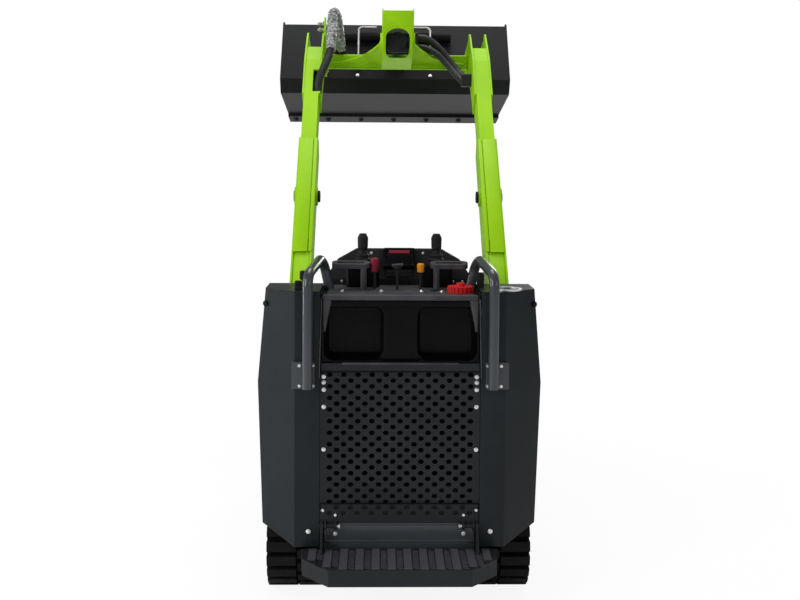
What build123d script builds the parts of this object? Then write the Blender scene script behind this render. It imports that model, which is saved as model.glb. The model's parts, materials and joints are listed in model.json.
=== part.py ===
from build123d import *
import math
import os

# Stand-on mini skid steer loader with rubber tracks and raised lift arms.
# Millimetres. +X is the operator's right, +Y is forward, +Z is up, and the ground is at Z = 0.
# The machine is stored with its arms up, as in the photograph.

os.makedirs("parts", exist_ok=True)

# Clearances
SEAT = 0.3          # small gap where a piece lies on its seat
PIN_FIT = 0.05      # radial running clearance of a pin in its bore
RUNNING = 5.0       # gap between a moving piece and its neighbour
SHEET = 6.0         # thickness of the painted covers

# Rear tower covers, as seen from behind
RECESS_HALF = 297.0       # half width of the recess between the two covers
FOLD_HALF = 390.0         # where the flat rear face folds towards the side
COVER_TOP_HALF = 505.0
COVER_WAIST_HALF = 538.0
COVER_FOOT_HALF = 519.0
COVER_TOP = 1205.0
COVER_WAIST = 845.0
COVER_FOOT = 249.0
COVER_CORNER = 305.0      # height of the cut lower outer corner
COVER_DEPTH = 450.0
COVER_SIDE_START = 118.0  # where the angled face meets the side wall
COVER_TOP_DEPTH = 242.0   # level part of the top, before it slopes down forward
COVER_FRONT_TOP = 985.0
GUARD_DEPTH = 205.0       # how far the low rear guard reaches forward
GUARD_RISE = 335.0        # where the lower edge has risen clear of the track
COVER_SKIRT = 474.0

# Lift arms
ARM_CENTRE = 393.0
ARM_TUBE_WIDTH = 66.0
ARM_PLATE = 8.0
ARM_TUBE_DEPTH = 132.0
ARM_WALL = 10.0
ARM_ANGLE = 50.3          # main beam above level, with the arms up
BEAM_LENGTH = 1520.0
ARM_PIVOT_FORWARD = 200.0
ARM_PIVOT_HEIGHT = 980.0
HITCH_FORWARD = 1558.0
HITCH_HEIGHT = 2160.0

LIFT_EYE_AT = 710.0       # lift cylinder pin along the main beam
LIFT_BASE_FORWARD = 100.0
LIFT_BASE_HEIGHT = 600.0
CROSS_FORWARD = 1350.0
CROSS_HEIGHT = 2163.0
CROSS_SIZE = 68.0

# Bucket, measured with its floor level from the heel of the floor
BUCKET_WIDTH = 1200.0
BUCKET_SLOPE = -10.9
FLOOR_LENGTH = 493.0
EDGE_LENGTH = 157.0
EDGE_THICKNESS = 16.0
BUCKET_SHEET = 8.0
BUCKET_BEND = (-52.0, 65.0)
BUCKET_BACK_TOP = (68.0, 394.0)
HITCH_BEHIND_HEEL = 130.0
HITCH_ABOVE_HEEL = 110.0

# Console
DECK_HEIGHT = 1186.0
HOUSING_DEPTH = 256.0     # from the deck down to the housing's lower edge
HOUSING_LOW = DECK_HEIGHT - HOUSING_DEPTH

# Platform
STEP_TOP = 245.0
STEP_LIP = 60.0
STEP_REACH = 208.0
STEP_START = 8.0
STEP_HALF = 363.0
STEP_WAIST_HALF = 353.0
STEP_WAIST = 106.0
STEP_REAR_HALF = 254.0
STEP_HINGE_BACK = 16.0
STEP_HINGE_HEIGHT = 334.0

# Tracks
TRACK_WIDTH = 230.0
TRACK_CENTRE = 388.0
BELT_THICKNESS = 22.0
LUG_HEIGHT = 25.0
LINK_PITCH = 50.0

# Tub between the tracks
TUB_HALF = 262.0
TUB_PLATE = 10.0
TUB_FLOOR = 130.0
TUB_TOP = 462.0
TUB_START = 60.0
TUB_END = 1470.0
DECK_PLATE = 8.0


def turned(point, centre, degrees):
    """The (Y, Z) place of a point turned about a centre, positive raising the front."""
    angle = math.radians(degrees)
    y = point[0] - centre[0]
    z = point[1] - centre[1]
    return (
        centre[0] + y * math.cos(angle) - z * math.sin(angle),
        centre[1] + y * math.sin(angle) + z * math.cos(angle),
    )



# The hitch pin fixes the bucket, and the bucket's lip and the step fix the length.
heel_offset = turned((HITCH_BEHIND_HEEL, -HITCH_ABOVE_HEEL), (0, 0), BUCKET_SLOPE)
lip_reach = (HITCH_FORWARD + heel_offset[0]
             + (FLOOR_LENGTH + EDGE_LENGTH) * math.cos(math.radians(BUCKET_SLOPE)))
REAR_Y = -(lip_reach - STEP_REACH) / 2


def at(forward):
    """Y of a place this far ahead of the covers' rear face."""
    return REAR_Y + forward


ARM_PIVOT = (at(ARM_PIVOT_FORWARD), ARM_PIVOT_HEIGHT)
HITCH = (at(HITCH_FORWARD), HITCH_HEIGHT)
HEEL = (HITCH[0] + heel_offset[0], HITCH[1] + heel_offset[1])
LIFT_BASE = (at(LIFT_BASE_FORWARD), LIFT_BASE_HEIGHT)
CROSS = (at(CROSS_FORWARD), CROSS_HEIGHT)


def on_beam(along, across=0.0):
    """A (Y, Z) place on the raised main beam: along its axis, and across towards its back."""
    return turned((ARM_PIVOT[0] + along, ARM_PIVOT[1] + across), ARM_PIVOT, ARM_ANGLE)


def on_bucket(forward_of_heel, above_heel):
    """A (Y, Z) place on the bucket, given with its floor level, with the arms up."""
    return turned((HEEL[0] + forward_of_heel, HEEL[1] + above_heel), HEEL, BUCKET_SLOPE)


LIFT_EYE = on_beam(LIFT_EYE_AT)
ELBOW = on_beam(BEAM_LENGTH)

# Side covers: the common part of three outlines, less the same outlines one sheet further in
ARM_SLOT_INNER = ARM_CENTRE - ARM_TUBE_WIDTH / 2 - ARM_PLATE - 8
ARM_SLOT_OUTER = ARM_CENTRE + ARM_TUBE_WIDTH / 2 + ARM_PLATE + 8
TOWER_PLATE = 12.0


def cover_block(inset):
    """The cover's outer block, or its inner space when inset by the sheet."""
    with BuildPart() as block:
        with BuildSketch(Plane.XY.offset(COVER_FOOT - 1)):
            with BuildLine():
                Polyline(
                    (RECESS_HALF - 4 * inset, REAR_Y + inset),
                    (FOLD_HALF - inset * 0.5, REAR_Y + inset),
                    (COVER_WAIST_HALF - inset, at(COVER_SIDE_START) + inset * 0.5),
                    (COVER_WAIST_HALF - inset, at(COVER_DEPTH) - inset),
                    (RECESS_HALF - 4 * inset, at(COVER_DEPTH) - inset),
                    close=True,
                )
            make_face()
        extrude(amount=COVER_TOP - COVER_FOOT + 2)
        with BuildSketch(Plane.XZ.offset(-at(COVER_DEPTH) - 1)):
            with BuildLine():
                Polyline(
                    (RECESS_HALF - 4 * inset, COVER_FOOT - 2 * inset),
                    (FOLD_HALF, COVER_FOOT - 2 * inset),
                    (COVER_FOOT_HALF - inset, COVER_CORNER - 2 * inset),
                    (COVER_WAIST_HALF - inset, COVER_WAIST),
                    (COVER_TOP_HALF - inset, COVER_TOP - inset),
                    (RECESS_HALF - 4 * inset, COVER_TOP - inset),
                    close=True,
                )
            make_face()
        extrude(amount=COVER_DEPTH + 2, mode=Mode.INTERSECT)
        with BuildSketch(Plane.YZ.offset(RECESS_HALF - 50)):
            with BuildLine():
                Polyline(
                    (REAR_Y - 1, COVER_FOOT - 2 * inset - 1),
                    (at(GUARD_DEPTH), COVER_FOOT - 2 * inset - 1),
                    (at(GUARD_DEPTH), COVER_CORNER - 2 * inset),
                    (at(GUARD_RISE), COVER_SKIRT - 2 * inset),
                    (at(COVER_DEPTH) + 1, COVER_SKIRT - 2 * inset),
                    (at(COVER_DEPTH) + 1, COVER_FRONT_TOP - inset),
                    (at(COVER_TOP_DEPTH), COVER_TOP - inset),
                    (REAR_Y - 1, COVER_TOP - inset),
                    close=True,
                )
            make_face()
        extrude(amount=COVER_WAIST_HALF, mode=Mode.INTERSECT)
    return block.part


with BuildPart() as side_cover_right:
    add(cover_block(0))
    add(cover_block(SHEET), mode=Mode.SUBTRACT)
    # Slot for the arm, through the sloping top and the front
    with BuildSketch(Plane.YZ.offset(ARM_SLOT_INNER - TOWER_PLATE - SEAT)):
        with BuildLine():
            Polyline(
                (at(COVER_TOP_DEPTH), COVER_TOP + 5),
                (at(COVER_TOP_DEPTH), COVER_TOP - 3 * SHEET),
                (at(COVER_DEPTH) - 3 * SHEET, COVER_SKIRT - 20),
                (at(COVER_DEPTH) + 5, COVER_SKIRT - 20),
                (at(COVER_DEPTH) + 5, COVER_TOP + 5),
                close=True,
            )
        make_face()
    extrude(amount=ARM_SLOT_OUTER - ARM_SLOT_INNER + 2 * TOWER_PLATE + 2 * SEAT, mode=Mode.SUBTRACT)
    # Relief above the tub and the deck plate, which the cover stands beside
    with BuildSketch(Plane.XZ.offset(-at(COVER_DEPTH) - 1)):
        with Locations((RECESS_HALF - 50, COVER_SKIRT)):
            Rectangle(100, 60)
    extrude(amount=COVER_DEPTH - SHEET - 20, mode=Mode.SUBTRACT)
side_cover_right.part.label = "side_cover_right"
export_step(side_cover_right.part, "parts/side_cover_right.step")

with BuildPart() as side_cover_left:
    mirror(side_cover_right.part, about=Plane.YZ)
side_cover_left.part.label = "side_cover_left"
export_step(side_cover_left.part, "parts/side_cover_left.step")

# Main frame: tub, deck plates, tower plates, pins and the rear centre plate
PIVOT_PIN_RADIUS = 25.0
LIFT_PIN_RADIUS = 20.0
PIN_HEAD = 8.0
TOWER_INSET = 16.0
CENTRE_PLATE_LOW = 300.0
CENTRE_PLATE_TOP = 391.0
FIREWALL_TOP = HOUSING_LOW - SEAT
FIREWALL_AT = 432.0
HALF_SLOT = (ARM_SLOT_OUTER - ARM_SLOT_INNER) / 2

with BuildPart() as main_frame:
    with BuildSketch(Plane.XZ.offset(-at(TUB_END))):
        with Locations((0, (TUB_FLOOR + TUB_TOP) / 2)):
            Rectangle(2 * TUB_HALF, TUB_TOP - TUB_FLOOR)
        with Locations((0, (TUB_FLOOR + TUB_TOP) / 2 + TUB_PLATE)):
            Rectangle(2 * (TUB_HALF - TUB_PLATE), TUB_TOP - TUB_FLOOR, mode=Mode.SUBTRACT)
    extrude(amount=TUB_END - TUB_START)
    for plate_front in (TUB_END, TUB_START + TUB_PLATE):
        with BuildSketch(Plane.XZ.offset(-at(plate_front))):
            with Locations((0, (TUB_FLOOR + TUB_TOP) / 2)):
                Rectangle(2 * TUB_HALF, TUB_TOP - TUB_FLOOR)
        extrude(amount=TUB_PLATE)
    # Centre plate between the covers, and the shelf that carries it
    with BuildSketch(Plane.XZ.offset(-REAR_Y - TUB_PLATE)):
        with Locations((0, (CENTRE_PLATE_LOW + CENTRE_PLATE_TOP) / 2)):
            Rectangle(2 * (RECESS_HALF - 2), CENTRE_PLATE_TOP - CENTRE_PLATE_LOW)
    extrude(amount=TUB_PLATE)
    with BuildSketch(Plane.XY.offset(CENTRE_PLATE_TOP - TUB_PLATE)):
        with Locations((0, at(TUB_START / 2))):
            Rectangle(2 * (TUB_HALF - TUB_PLATE), TUB_START)
    extrude(amount=TUB_PLATE)
    # Deck plates over the rear of the tracks, on which the towers stand
    with BuildSketch(Plane.XY.offset(TUB_TOP)):
        with BuildLine():
            Polyline(
                (TUB_HALF - TUB_PLATE, at(20)),
                (FOLD_HALF - 10, at(20)),
                (ARM_SLOT_OUTER + 40, at(90)),
                (ARM_SLOT_OUTER + 40, at(COVER_DEPTH - 10)),
                (TUB_HALF - TUB_PLATE, at(COVER_DEPTH - 10)),
                close=True,
            )
        make_face()
    extrude(amount=DECK_PLATE)
    for plate_start in (ARM_SLOT_INNER - TOWER_PLATE, ARM_SLOT_OUTER):
        with BuildSketch(Plane.YZ.offset(plate_start)):
            with BuildLine():
                Polyline(
                    (at(TOWER_INSET + 64), TUB_TOP),
                    (at(TOWER_INSET + 64), COVER_TOP - 40),
                    (at(TOWER_INSET + 94), COVER_TOP - TOWER_INSET),
                    (at(COVER_TOP_DEPTH - 8), COVER_TOP - TOWER_INSET),
                    (at(COVER_DEPTH - TOWER_INSET), COVER_FRONT_TOP - TOWER_INSET),
                    (at(COVER_DEPTH - TOWER_INSET), TUB_TOP),
                    close=True,
                )
            make_face()
        extrude(amount=TOWER_PLATE)
    # Pivot pin of the arm and base pin of the lift cylinder
    for centre, radius in ((ARM_PIVOT, PIVOT_PIN_RADIUS), (LIFT_BASE, LIFT_PIN_RADIUS)):
        with BuildSketch(Plane.YZ.offset(ARM_SLOT_INNER - 1)):
            with Locations(centre):
                Circle(radius)
        extrude(amount=2 * HALF_SLOT + 2)
        with BuildSketch(Plane.YZ.offset(ARM_SLOT_OUTER + TOWER_PLATE)):
            with Locations(centre):
                Circle(radius + 14)
        extrude(amount=PIN_HEAD)
    mirror(about=Plane.YZ)
    # Firewall between the towers, behind the engine
    with BuildSketch(Plane.XZ.offset(-at(FIREWALL_AT))):
        with Locations((0, (TUB_TOP + DECK_PLATE + FIREWALL_TOP) / 2)):
            Rectangle(2 * ARM_SLOT_INNER - TOWER_PLATE, FIREWALL_TOP - TUB_TOP - DECK_PLATE)
    extrude(amount=SHEET)
    with BuildSketch(Plane.XY.offset(TUB_TOP)):
        with Locations((0, at(FIREWALL_AT - 20))):
            Rectangle(2 * TUB_HALF, 40)
    extrude(amount=DECK_PLATE)
main_frame.part.label = "main_frame"
export_step(main_frame.part, "parts/main_frame.step")

# Arms: two side plates round a box beam, which is open below for the lift cylinder
ARM_INNER = ARM_CENTRE - ARM_TUBE_WIDTH / 2 - ARM_PLATE
HALF_TUBE = ARM_TUBE_DEPTH / 2
BOX_START = 440.0
SIDE_PLATE_END = 985.0
ELBOW_PLATE_START = 1250.0
POCKET_END = 765.0
WEB_RECESS = 34.0
HITCH_PIN_RADIUS = 20.0
LEG_DEPTH = 120.0
HORN = (at(1290), 2266.0)
HORN_RADIUS = 30.0
HITCH_BOSS_RADIUS = 56.0

with BuildPart() as arm_right:
    with BuildSketch(Plane.YZ.offset(ARM_INNER + ARM_PLATE)):
        with BuildLine():
            Polyline(
                on_beam(BOX_START, HALF_TUBE),
                on_beam(BEAM_LENGTH - 55, HALF_TUBE),
                (ELBOW[0] + 10, ELBOW[1] + LEG_DEPTH / 2 + 8),
                (HITCH[0] - 78, HITCH[1] + LEG_DEPTH / 2 - 4),
                (HITCH[0] - 78, HITCH[1] - LEG_DEPTH / 2 + 10),
                (ELBOW[0] + 62, ELBOW[1] - LEG_DEPTH / 2 + 4),
                on_beam(BEAM_LENGTH - 90, -HALF_TUBE),
                on_beam(BOX_START, -HALF_TUBE),
                close=True,
            )
        make_face()
    extrude(amount=ARM_TUBE_WIDTH)
    # Room for the cylinder's rod between the side plates
    with BuildSketch(Plane.YZ.offset(ARM_INNER + ARM_PLATE)):
        with BuildLine():
            Polyline(
                on_beam(BOX_START + ARM_WALL, HALF_TUBE - ARM_WALL),
                on_beam(POCKET_END, HALF_TUBE - ARM_WALL),
                on_beam(POCKET_END, -HALF_TUBE - 1),
                on_beam(BOX_START - 1, -HALF_TUBE - 1),
                on_beam(BOX_START - 1, HALF_TUBE - WEB_RECESS - ARM_WALL),
                on_beam(BOX_START + ARM_WALL, HALF_TUBE - WEB_RECESS - ARM_WALL),
                close=True,
            )
        make_face()
    extrude(amount=ARM_TUBE_WIDTH, mode=Mode.SUBTRACT)
    # Inside of the closed box beam
    with BuildSketch(Plane.YZ.offset(ARM_INNER + ARM_PLATE + ARM_WALL)):
        with BuildLine():
            Polyline(
                on_beam(POCKET_END + ARM_WALL, HALF_TUBE - ARM_WALL),
                on_beam(BEAM_LENGTH - 65, HALF_TUBE - ARM_WALL),
                on_beam(BEAM_LENGTH - 65, -HALF_TUBE + ARM_WALL),
                on_beam(POCKET_END + ARM_WALL, -HALF_TUBE + ARM_WALL),
                close=True,
            )
        make_face()
    extrude(amount=ARM_TUBE_WIDTH - 2 * ARM_WALL, mode=Mode.SUBTRACT)
    # Recessed web below the box
    with BuildSketch(Plane.YZ.offset(ARM_INNER + ARM_PLATE)):
        with BuildLine():
            Polyline(
                on_beam(60, HALF_TUBE - WEB_RECESS),
                on_beam(BOX_START + 1, HALF_TUBE - WEB_RECESS),
                on_beam(BOX_START + 1, HALF_TUBE - WEB_RECESS - ARM_WALL),
                on_beam(60, HALF_TUBE - WEB_RECESS - ARM_WALL),
                close=True,
            )
        make_face()
    extrude(amount=ARM_TUBE_WIDTH)
    for plate_start in (ARM_INNER, ARM_INNER + ARM_PLATE + ARM_TUBE_WIDTH):
        with BuildSketch(Plane.YZ.offset(plate_start)):
            with Locations(ARM_PIVOT):
                Circle(HALF_TUBE + 8)
            with BuildLine():
                Polyline(
                    on_beam(0, HALF_TUBE + 8),
                    on_beam(140, HALF_TUBE + 1),
                    on_beam(SIDE_PLATE_END, HALF_TUBE + 1),
                    on_beam(SIDE_PLATE_END + 40, 0),
                    on_beam(SIDE_PLATE_END, -HALF_TUBE - 1),
                    on_beam(140, -HALF_TUBE - 1),
                    on_beam(0, -HALF_TUBE - 8),
                    close=True,
                )
            make_face()
            with BuildLine():
                Polyline(
                    on_beam(ELBOW_PLATE_START, HALF_TUBE + 1),
                    on_beam(BEAM_LENGTH - 50, HALF_TUBE + 4),
                    (HORN[0] - HORN_RADIUS, HORN[1] + HORN_RADIUS * 0.5),
                    (HORN[0] + HORN_RADIUS, HORN[1] + HORN_RADIUS * 0.2),
                    (HITCH[0] + 12, HITCH[1] + HITCH_BOSS_RADIUS - 2),
                    (HITCH[0] - 8, HITCH[1] - HITCH_BOSS_RADIUS + 1),
                    (ELBOW[0] + 120, ELBOW[1] - LEG_DEPTH / 2 - 6),
                    on_beam(ELBOW_PLATE_START + 80, -HALF_TUBE - 4),
                    on_beam(ELBOW_PLATE_START, -HALF_TUBE - 1),
                    close=True,
                )
            make_face()
            with Locations(HORN):
                Circle(HORN_RADIUS)
            with Locations(HITCH):
                Circle(HITCH_BOSS_RADIUS)
        extrude(amount=ARM_PLATE)
    # Pivot tube between the plates, and its bore for the pin
    with BuildSketch(Plane.YZ.offset(ARM_SLOT_INNER + 2)):
        with Locations(ARM_PIVOT):
            Circle(PIVOT_PIN_RADIUS + 15)
    extrude(amount=2 * HALF_SLOT - 4)
    with BuildSketch(Plane.YZ.offset(ARM_SLOT_INNER)):
        with Locations(ARM_PIVOT):
            Circle(PIVOT_PIN_RADIUS + PIN_FIT)
    extrude(amount=2 * HALF_SLOT, mode=Mode.SUBTRACT)
    # Bosses of the lift cylinder's pin, outside the plates
    for boss_start in (ARM_INNER - PIN_HEAD, ARM_INNER + 2 * ARM_PLATE + ARM_TUBE_WIDTH):
        for centre, radius in ((LIFT_EYE, 40), (HITCH, 32)):
            with BuildSketch(Plane.YZ.offset(boss_start)):
                with Locations(centre):
                    Circle(radius)
            extrude(amount=PIN_HEAD)
    # Hitch pin
    with BuildSketch(Plane.YZ.offset(ARM_INNER)):
        with Locations(HITCH):
            Circle(HITCH_PIN_RADIUS)
    extrude(amount=2 * ARM_PLATE + ARM_TUBE_WIDTH)
arm_right.part.label = "arm_right"
export_step(arm_right.part, "parts/arm_right.step")

# The left arm has a slot in its back where the auxiliary hose comes out
SLOT_START = 1262.0
SLOT_END = 1400.0
SLOT_INNER = 345.0
SLOT_OUTER = 388.0
SLOT_DEPTH = 52.0
with BuildPart() as arm_left:
    mirror(arm_right.part, about=Plane.YZ)
    with BuildSketch(Plane.YZ.offset(-SLOT_OUTER)):
        with BuildLine():
            Polyline(
                on_beam(SLOT_START, HALF_TUBE + 12),
                on_beam(SLOT_END, HALF_TUBE + 12),
                on_beam(SLOT_END, HALF_TUBE - SLOT_DEPTH + 20),
                on_beam(SLOT_START, HALF_TUBE - SLOT_DEPTH),
                close=True,
            )
        make_face()
    extrude(amount=SLOT_OUTER - SLOT_INNER, mode=Mode.SUBTRACT)
arm_left.part.label = "arm_left"
export_step(arm_left.part, "parts/arm_left.step")

with BuildPart() as cross_tube:
    with BuildSketch(Plane.YZ.offset(-ARM_INNER)):
        with Locations(CROSS):
            RectangleRounded(CROSS_SIZE, CROSS_SIZE, 8)
            RectangleRounded(CROSS_SIZE - 16, CROSS_SIZE - 16, 2, mode=Mode.SUBTRACT)
    extrude(amount=2 * ARM_INNER)
cross_tube.part.label = "cross_tube"
export_step(cross_tube.part, "parts/cross_tube.step")

# Tilt tower on the cross tube: a bell-shaped plate with a notch, and two side plates
TOWER_LEAN = 30.27        # of the bell plate above level, towards the rear
TOWER_HALF = 72.0
TOWER_SIDE = 12.0
BELL_FOOT = (CROSS[0], CROSS[1] - CROSS_SIZE / 2)
BELL_HEIGHT = 486.0
BELL_FOOT_HALF = 330.0
BELL_PLATE = 10.0
NOTCH_LOW = 101.0
NOTCH_TOP = 347.0
TILT_BASE = (at(1046), 2236.0)
TILT_PIN_RADIUS = 18.0
TILT_BOSS_RADIUS = 46.0
lean = math.radians(TOWER_LEAN)
bell_plane = Plane(
    origin=(0, BELL_FOOT[0], BELL_FOOT[1]),
    x_dir=(1, 0, 0),
    z_dir=(0, -math.sin(lean), -math.cos(lean)),
)


def on_bell(up, out=0.0):
    """A (Y, Z) place up the bell plate, and out from it towards the rear."""
    return (
        BELL_FOOT[0] - up * math.cos(lean) - out * math.sin(lean),
        BELL_FOOT[1] + up * math.sin(lean) - out * math.cos(lean),
    )


with BuildPart() as tilt_tower:
    with BuildSketch(bell_plane):
        with BuildLine():
            bell_edge = Polyline((0, 0), (BELL_FOOT_HALF, 0), (BELL_FOOT_HALF, 44))
            flare = TangentArc(bell_edge @ 1, (TOWER_HALF + 14, 200), tangent=(-1, 0.06))
            Polyline(flare @ 1, (TOWER_HALF, 260), (TOWER_HALF, BELL_HEIGHT), (0, BELL_HEIGHT), (0, 0))
        make_face()
        mirror(about=Plane.YZ)
        with Locations((0, (NOTCH_LOW + NOTCH_TOP) / 2)):
            Rectangle(2 * (TOWER_HALF - TOWER_SIDE), NOTCH_TOP - NOTCH_LOW, mode=Mode.SUBTRACT)
    extrude(amount=-BELL_PLATE)
    for plate_start in (-TOWER_HALF, TOWER_HALF - TOWER_SIDE):
        with BuildSketch(Plane.YZ.offset(plate_start)):
            with Locations(TILT_BASE):
                Circle(TILT_BOSS_RADIUS)
            with BuildLine():
                Polyline(
                    (CROSS[0] - CROSS_SIZE / 2, CROSS[1] - CROSS_SIZE / 2 + 8),
                    (TILT_BASE[0] + 10, TILT_BASE[1] - TILT_BOSS_RADIUS + 1),
                    (TILT_BASE[0] - TILT_BOSS_RADIUS + 1, TILT_BASE[1] - 4),
                    on_bell(BELL_HEIGHT, 30),
                    on_bell(BELL_HEIGHT, -24),
                    (CROSS[0] + CROSS_SIZE / 2 - 8, CROSS[1] + CROSS_SIZE / 2 + 20),
                    (CROSS[0] + CROSS_SIZE / 2 - 8, CROSS[1]),
                    close=True,
                )
            make_face()
        extrude(amount=TOWER_SIDE)
    for boss_start in (-TOWER_HALF - PIN_HEAD, TOWER_HALF):
        with BuildSketch(Plane.YZ.offset(boss_start)):
            with Locations(TILT_BASE):
                Circle(TILT_BOSS_RADIUS - 12)
        extrude(amount=PIN_HEAD)
    with BuildSketch(Plane.YZ.offset(-TOWER_HALF)):
        with Locations(TILT_BASE):
            Circle(TILT_PIN_RADIUS)
    extrude(amount=2 * TOWER_HALF)
    # The tower is fitted round the cross tube
    with BuildSketch(Plane.YZ.offset(-ARM_INNER)):
        with Locations(CROSS):
            RectangleRounded(CROSS_SIZE, CROSS_SIZE, 8)
        with Locations((CROSS[0], CROSS[1] - CROSS_SIZE)):
            Rectangle(CROSS_SIZE, 2 * CROSS_SIZE)
    extrude(amount=2 * ARM_INNER, mode=Mode.SUBTRACT)
tilt_tower.part.label = "tilt_tower"
export_step(tilt_tower.part, "parts/tilt_tower.step")

# Cylinders
ROD_EYE_FROM_HITCH = (26.0, 142.7)    # with the bucket's floor level


def from_hitch(forward_of_pin, above_pin):
    return on_bucket(-HITCH_BEHIND_HEEL + forward_of_pin, HITCH_ABOVE_HEEL + above_pin)


TILT_EYE = from_hitch(*ROD_EYE_FROM_HITCH)


def cylinder_plane(base, eye, centre_x):
    """Plane across a cylinder at its base pin, looking along it to the rod's eye."""
    return Plane(
        origin=(centre_x, base[0], base[1]),
        x_dir=(1, 0, 0),
        z_dir=(0, eye[0] - base[0], eye[1] - base[1]),
    )


def barrel(base, eye, centre_x, radius, length, rod_radius, eye_half, pin_radius):
    """Cylinder barrel with its base eye, gland and bore."""
    across = cylinder_plane(base, eye, centre_x)
    with BuildPart() as body:
        with BuildSketch(Plane.YZ.offset(centre_x - eye_half)):
            with Locations(base):
                Circle(pin_radius + 16)
        extrude(amount=2 * eye_half)
        with BuildSketch(across):
            Circle(radius)
        extrude(amount=length - 34)
        with BuildSketch(across.offset(length - 34)):
            Circle(radius - 3)
        extrude(amount=34)
        with BuildSketch(across.offset(pin_radius + 24)):
            Circle(radius - 8)
        extrude(amount=length - pin_radius - 24 - 30, mode=Mode.SUBTRACT)
        with BuildSketch(across.offset(length - 40)):
            Circle(rod_radius + PIN_FIT)
        extrude(amount=41, mode=Mode.SUBTRACT)
        with BuildSketch(Plane.YZ.offset(centre_x - eye_half - 50)):
            with Locations(base):
                Circle(pin_radius + PIN_FIT)
        extrude(amount=2 * eye_half + 100, mode=Mode.SUBTRACT)
    return body.part


def rod(base, eye, centre_x, radius, length, eye_half, eye_radius, pin_radius, pin_half):
    """Piston rod with its eye, and the pin's stub in the eye."""
    across = cylinder_plane(base, eye, centre_x)
    reach = math.dist(base, eye)
    with BuildPart() as body:
        with BuildSketch(across.offset(reach - length)):
            Circle(radius)
        extrude(amount=length)
        with BuildSketch(Plane.YZ.offset(centre_x - eye_half)):
            with Locations(eye):
                Circle(eye_radius)
        extrude(amount=2 * eye_half)
        with BuildSketch(Plane.YZ.offset(centre_x - pin_half)):
            with Locations(eye):
                Circle(pin_radius)
        extrude(amount=2 * pin_half)
    return body.part


LIFT_BARREL_RADIUS = 28.0
LIFT_BARREL_LENGTH = 690.0
LIFT_ROD_RADIUS = 17.0
LIFT_ROD_LENGTH = 440.0
LIFT_EYE_HALF = 26.0

with BuildPart() as lift_barrel_right:
    add(barrel(LIFT_BASE, LIFT_EYE, ARM_CENTRE, LIFT_BARREL_RADIUS, LIFT_BARREL_LENGTH,
               LIFT_ROD_RADIUS, LIFT_EYE_HALF + 8, LIFT_PIN_RADIUS))
lift_barrel_right.part.label = "lift_barrel_right"
export_step(lift_barrel_right.part, "parts/lift_barrel_right.step")

with BuildPart() as lift_barrel_left:
    mirror(lift_barrel_right.part, about=Plane.YZ)
lift_barrel_left.part.label = "lift_barrel_left"
export_step(lift_barrel_left.part, "parts/lift_barrel_left.step")

with BuildPart() as lift_rod_right:
    add(rod(LIFT_BASE, LIFT_EYE, ARM_CENTRE, LIFT_ROD_RADIUS, LIFT_ROD_LENGTH,
            LIFT_EYE_HALF, 34, LIFT_PIN_RADIUS, LIFT_EYE_HALF + 2))
lift_rod_right.part.label = "lift_rod_right"
export_step(lift_rod_right.part, "parts/lift_rod_right.step")

with BuildPart() as lift_rod_left:
    mirror(lift_rod_right.part, about=Plane.YZ)
lift_rod_left.part.label = "lift_rod_left"
export_step(lift_rod_left.part, "parts/lift_rod_left.step")

TILT_BARREL_RADIUS = 40.0
TILT_BARREL_LENGTH = 322.0
TILT_ROD_RADIUS = 20.0
TILT_ROD_LENGTH = 325.0
TILT_EYE_HALF = 25.0
TILT_EAR_GAP = 32.0

with BuildPart() as tilt_barrel:
    add(barrel(TILT_BASE, TILT_EYE, 0, TILT_BARREL_RADIUS, TILT_BARREL_LENGTH,
               TILT_ROD_RADIUS, TOWER_HALF - TOWER_SIDE - 6, TILT_PIN_RADIUS))
tilt_barrel.part.label = "tilt_barrel"
export_step(tilt_barrel.part, "parts/tilt_barrel.step")

with BuildPart() as tilt_rod:
    add(rod(TILT_BASE, TILT_EYE, 0, TILT_ROD_RADIUS, TILT_ROD_LENGTH,
            TILT_EYE_HALF, 36, TILT_PIN_RADIUS, TILT_EAR_GAP - 5))
tilt_rod.part.label = "tilt_rod"
export_step(tilt_rod.part, "parts/tilt_rod.step")

# Bucket: the sheet runs up from the floor, round the heel bend and up the back
BUCKET_SIDE = 10.0
BUCKET_HALF = BUCKET_WIDTH / 2
LIP_BAR = 26.0
SIDE_TOP_DEPTH = 62.0
SIDE_FRONT_HEIGHT = 66.0
back_run = (BUCKET_BACK_TOP[0] - BUCKET_BEND[0], BUCKET_BACK_TOP[1] - BUCKET_BEND[1])
back_length = math.hypot(*back_run)
back_dir = (back_run[0] / back_length, back_run[1] / back_length)
back_out = (-back_dir[1], back_dir[0])


def on_back(up, out=0.0):
    """A (Y, Z) place up the outside of the bucket's back from its bend, and out behind it."""
    return on_bucket(
        BUCKET_BEND[0] + up * back_dir[0] + out * back_out[0],
        BUCKET_BEND[1] + up * back_dir[1] + out * back_out[1],
    )


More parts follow.
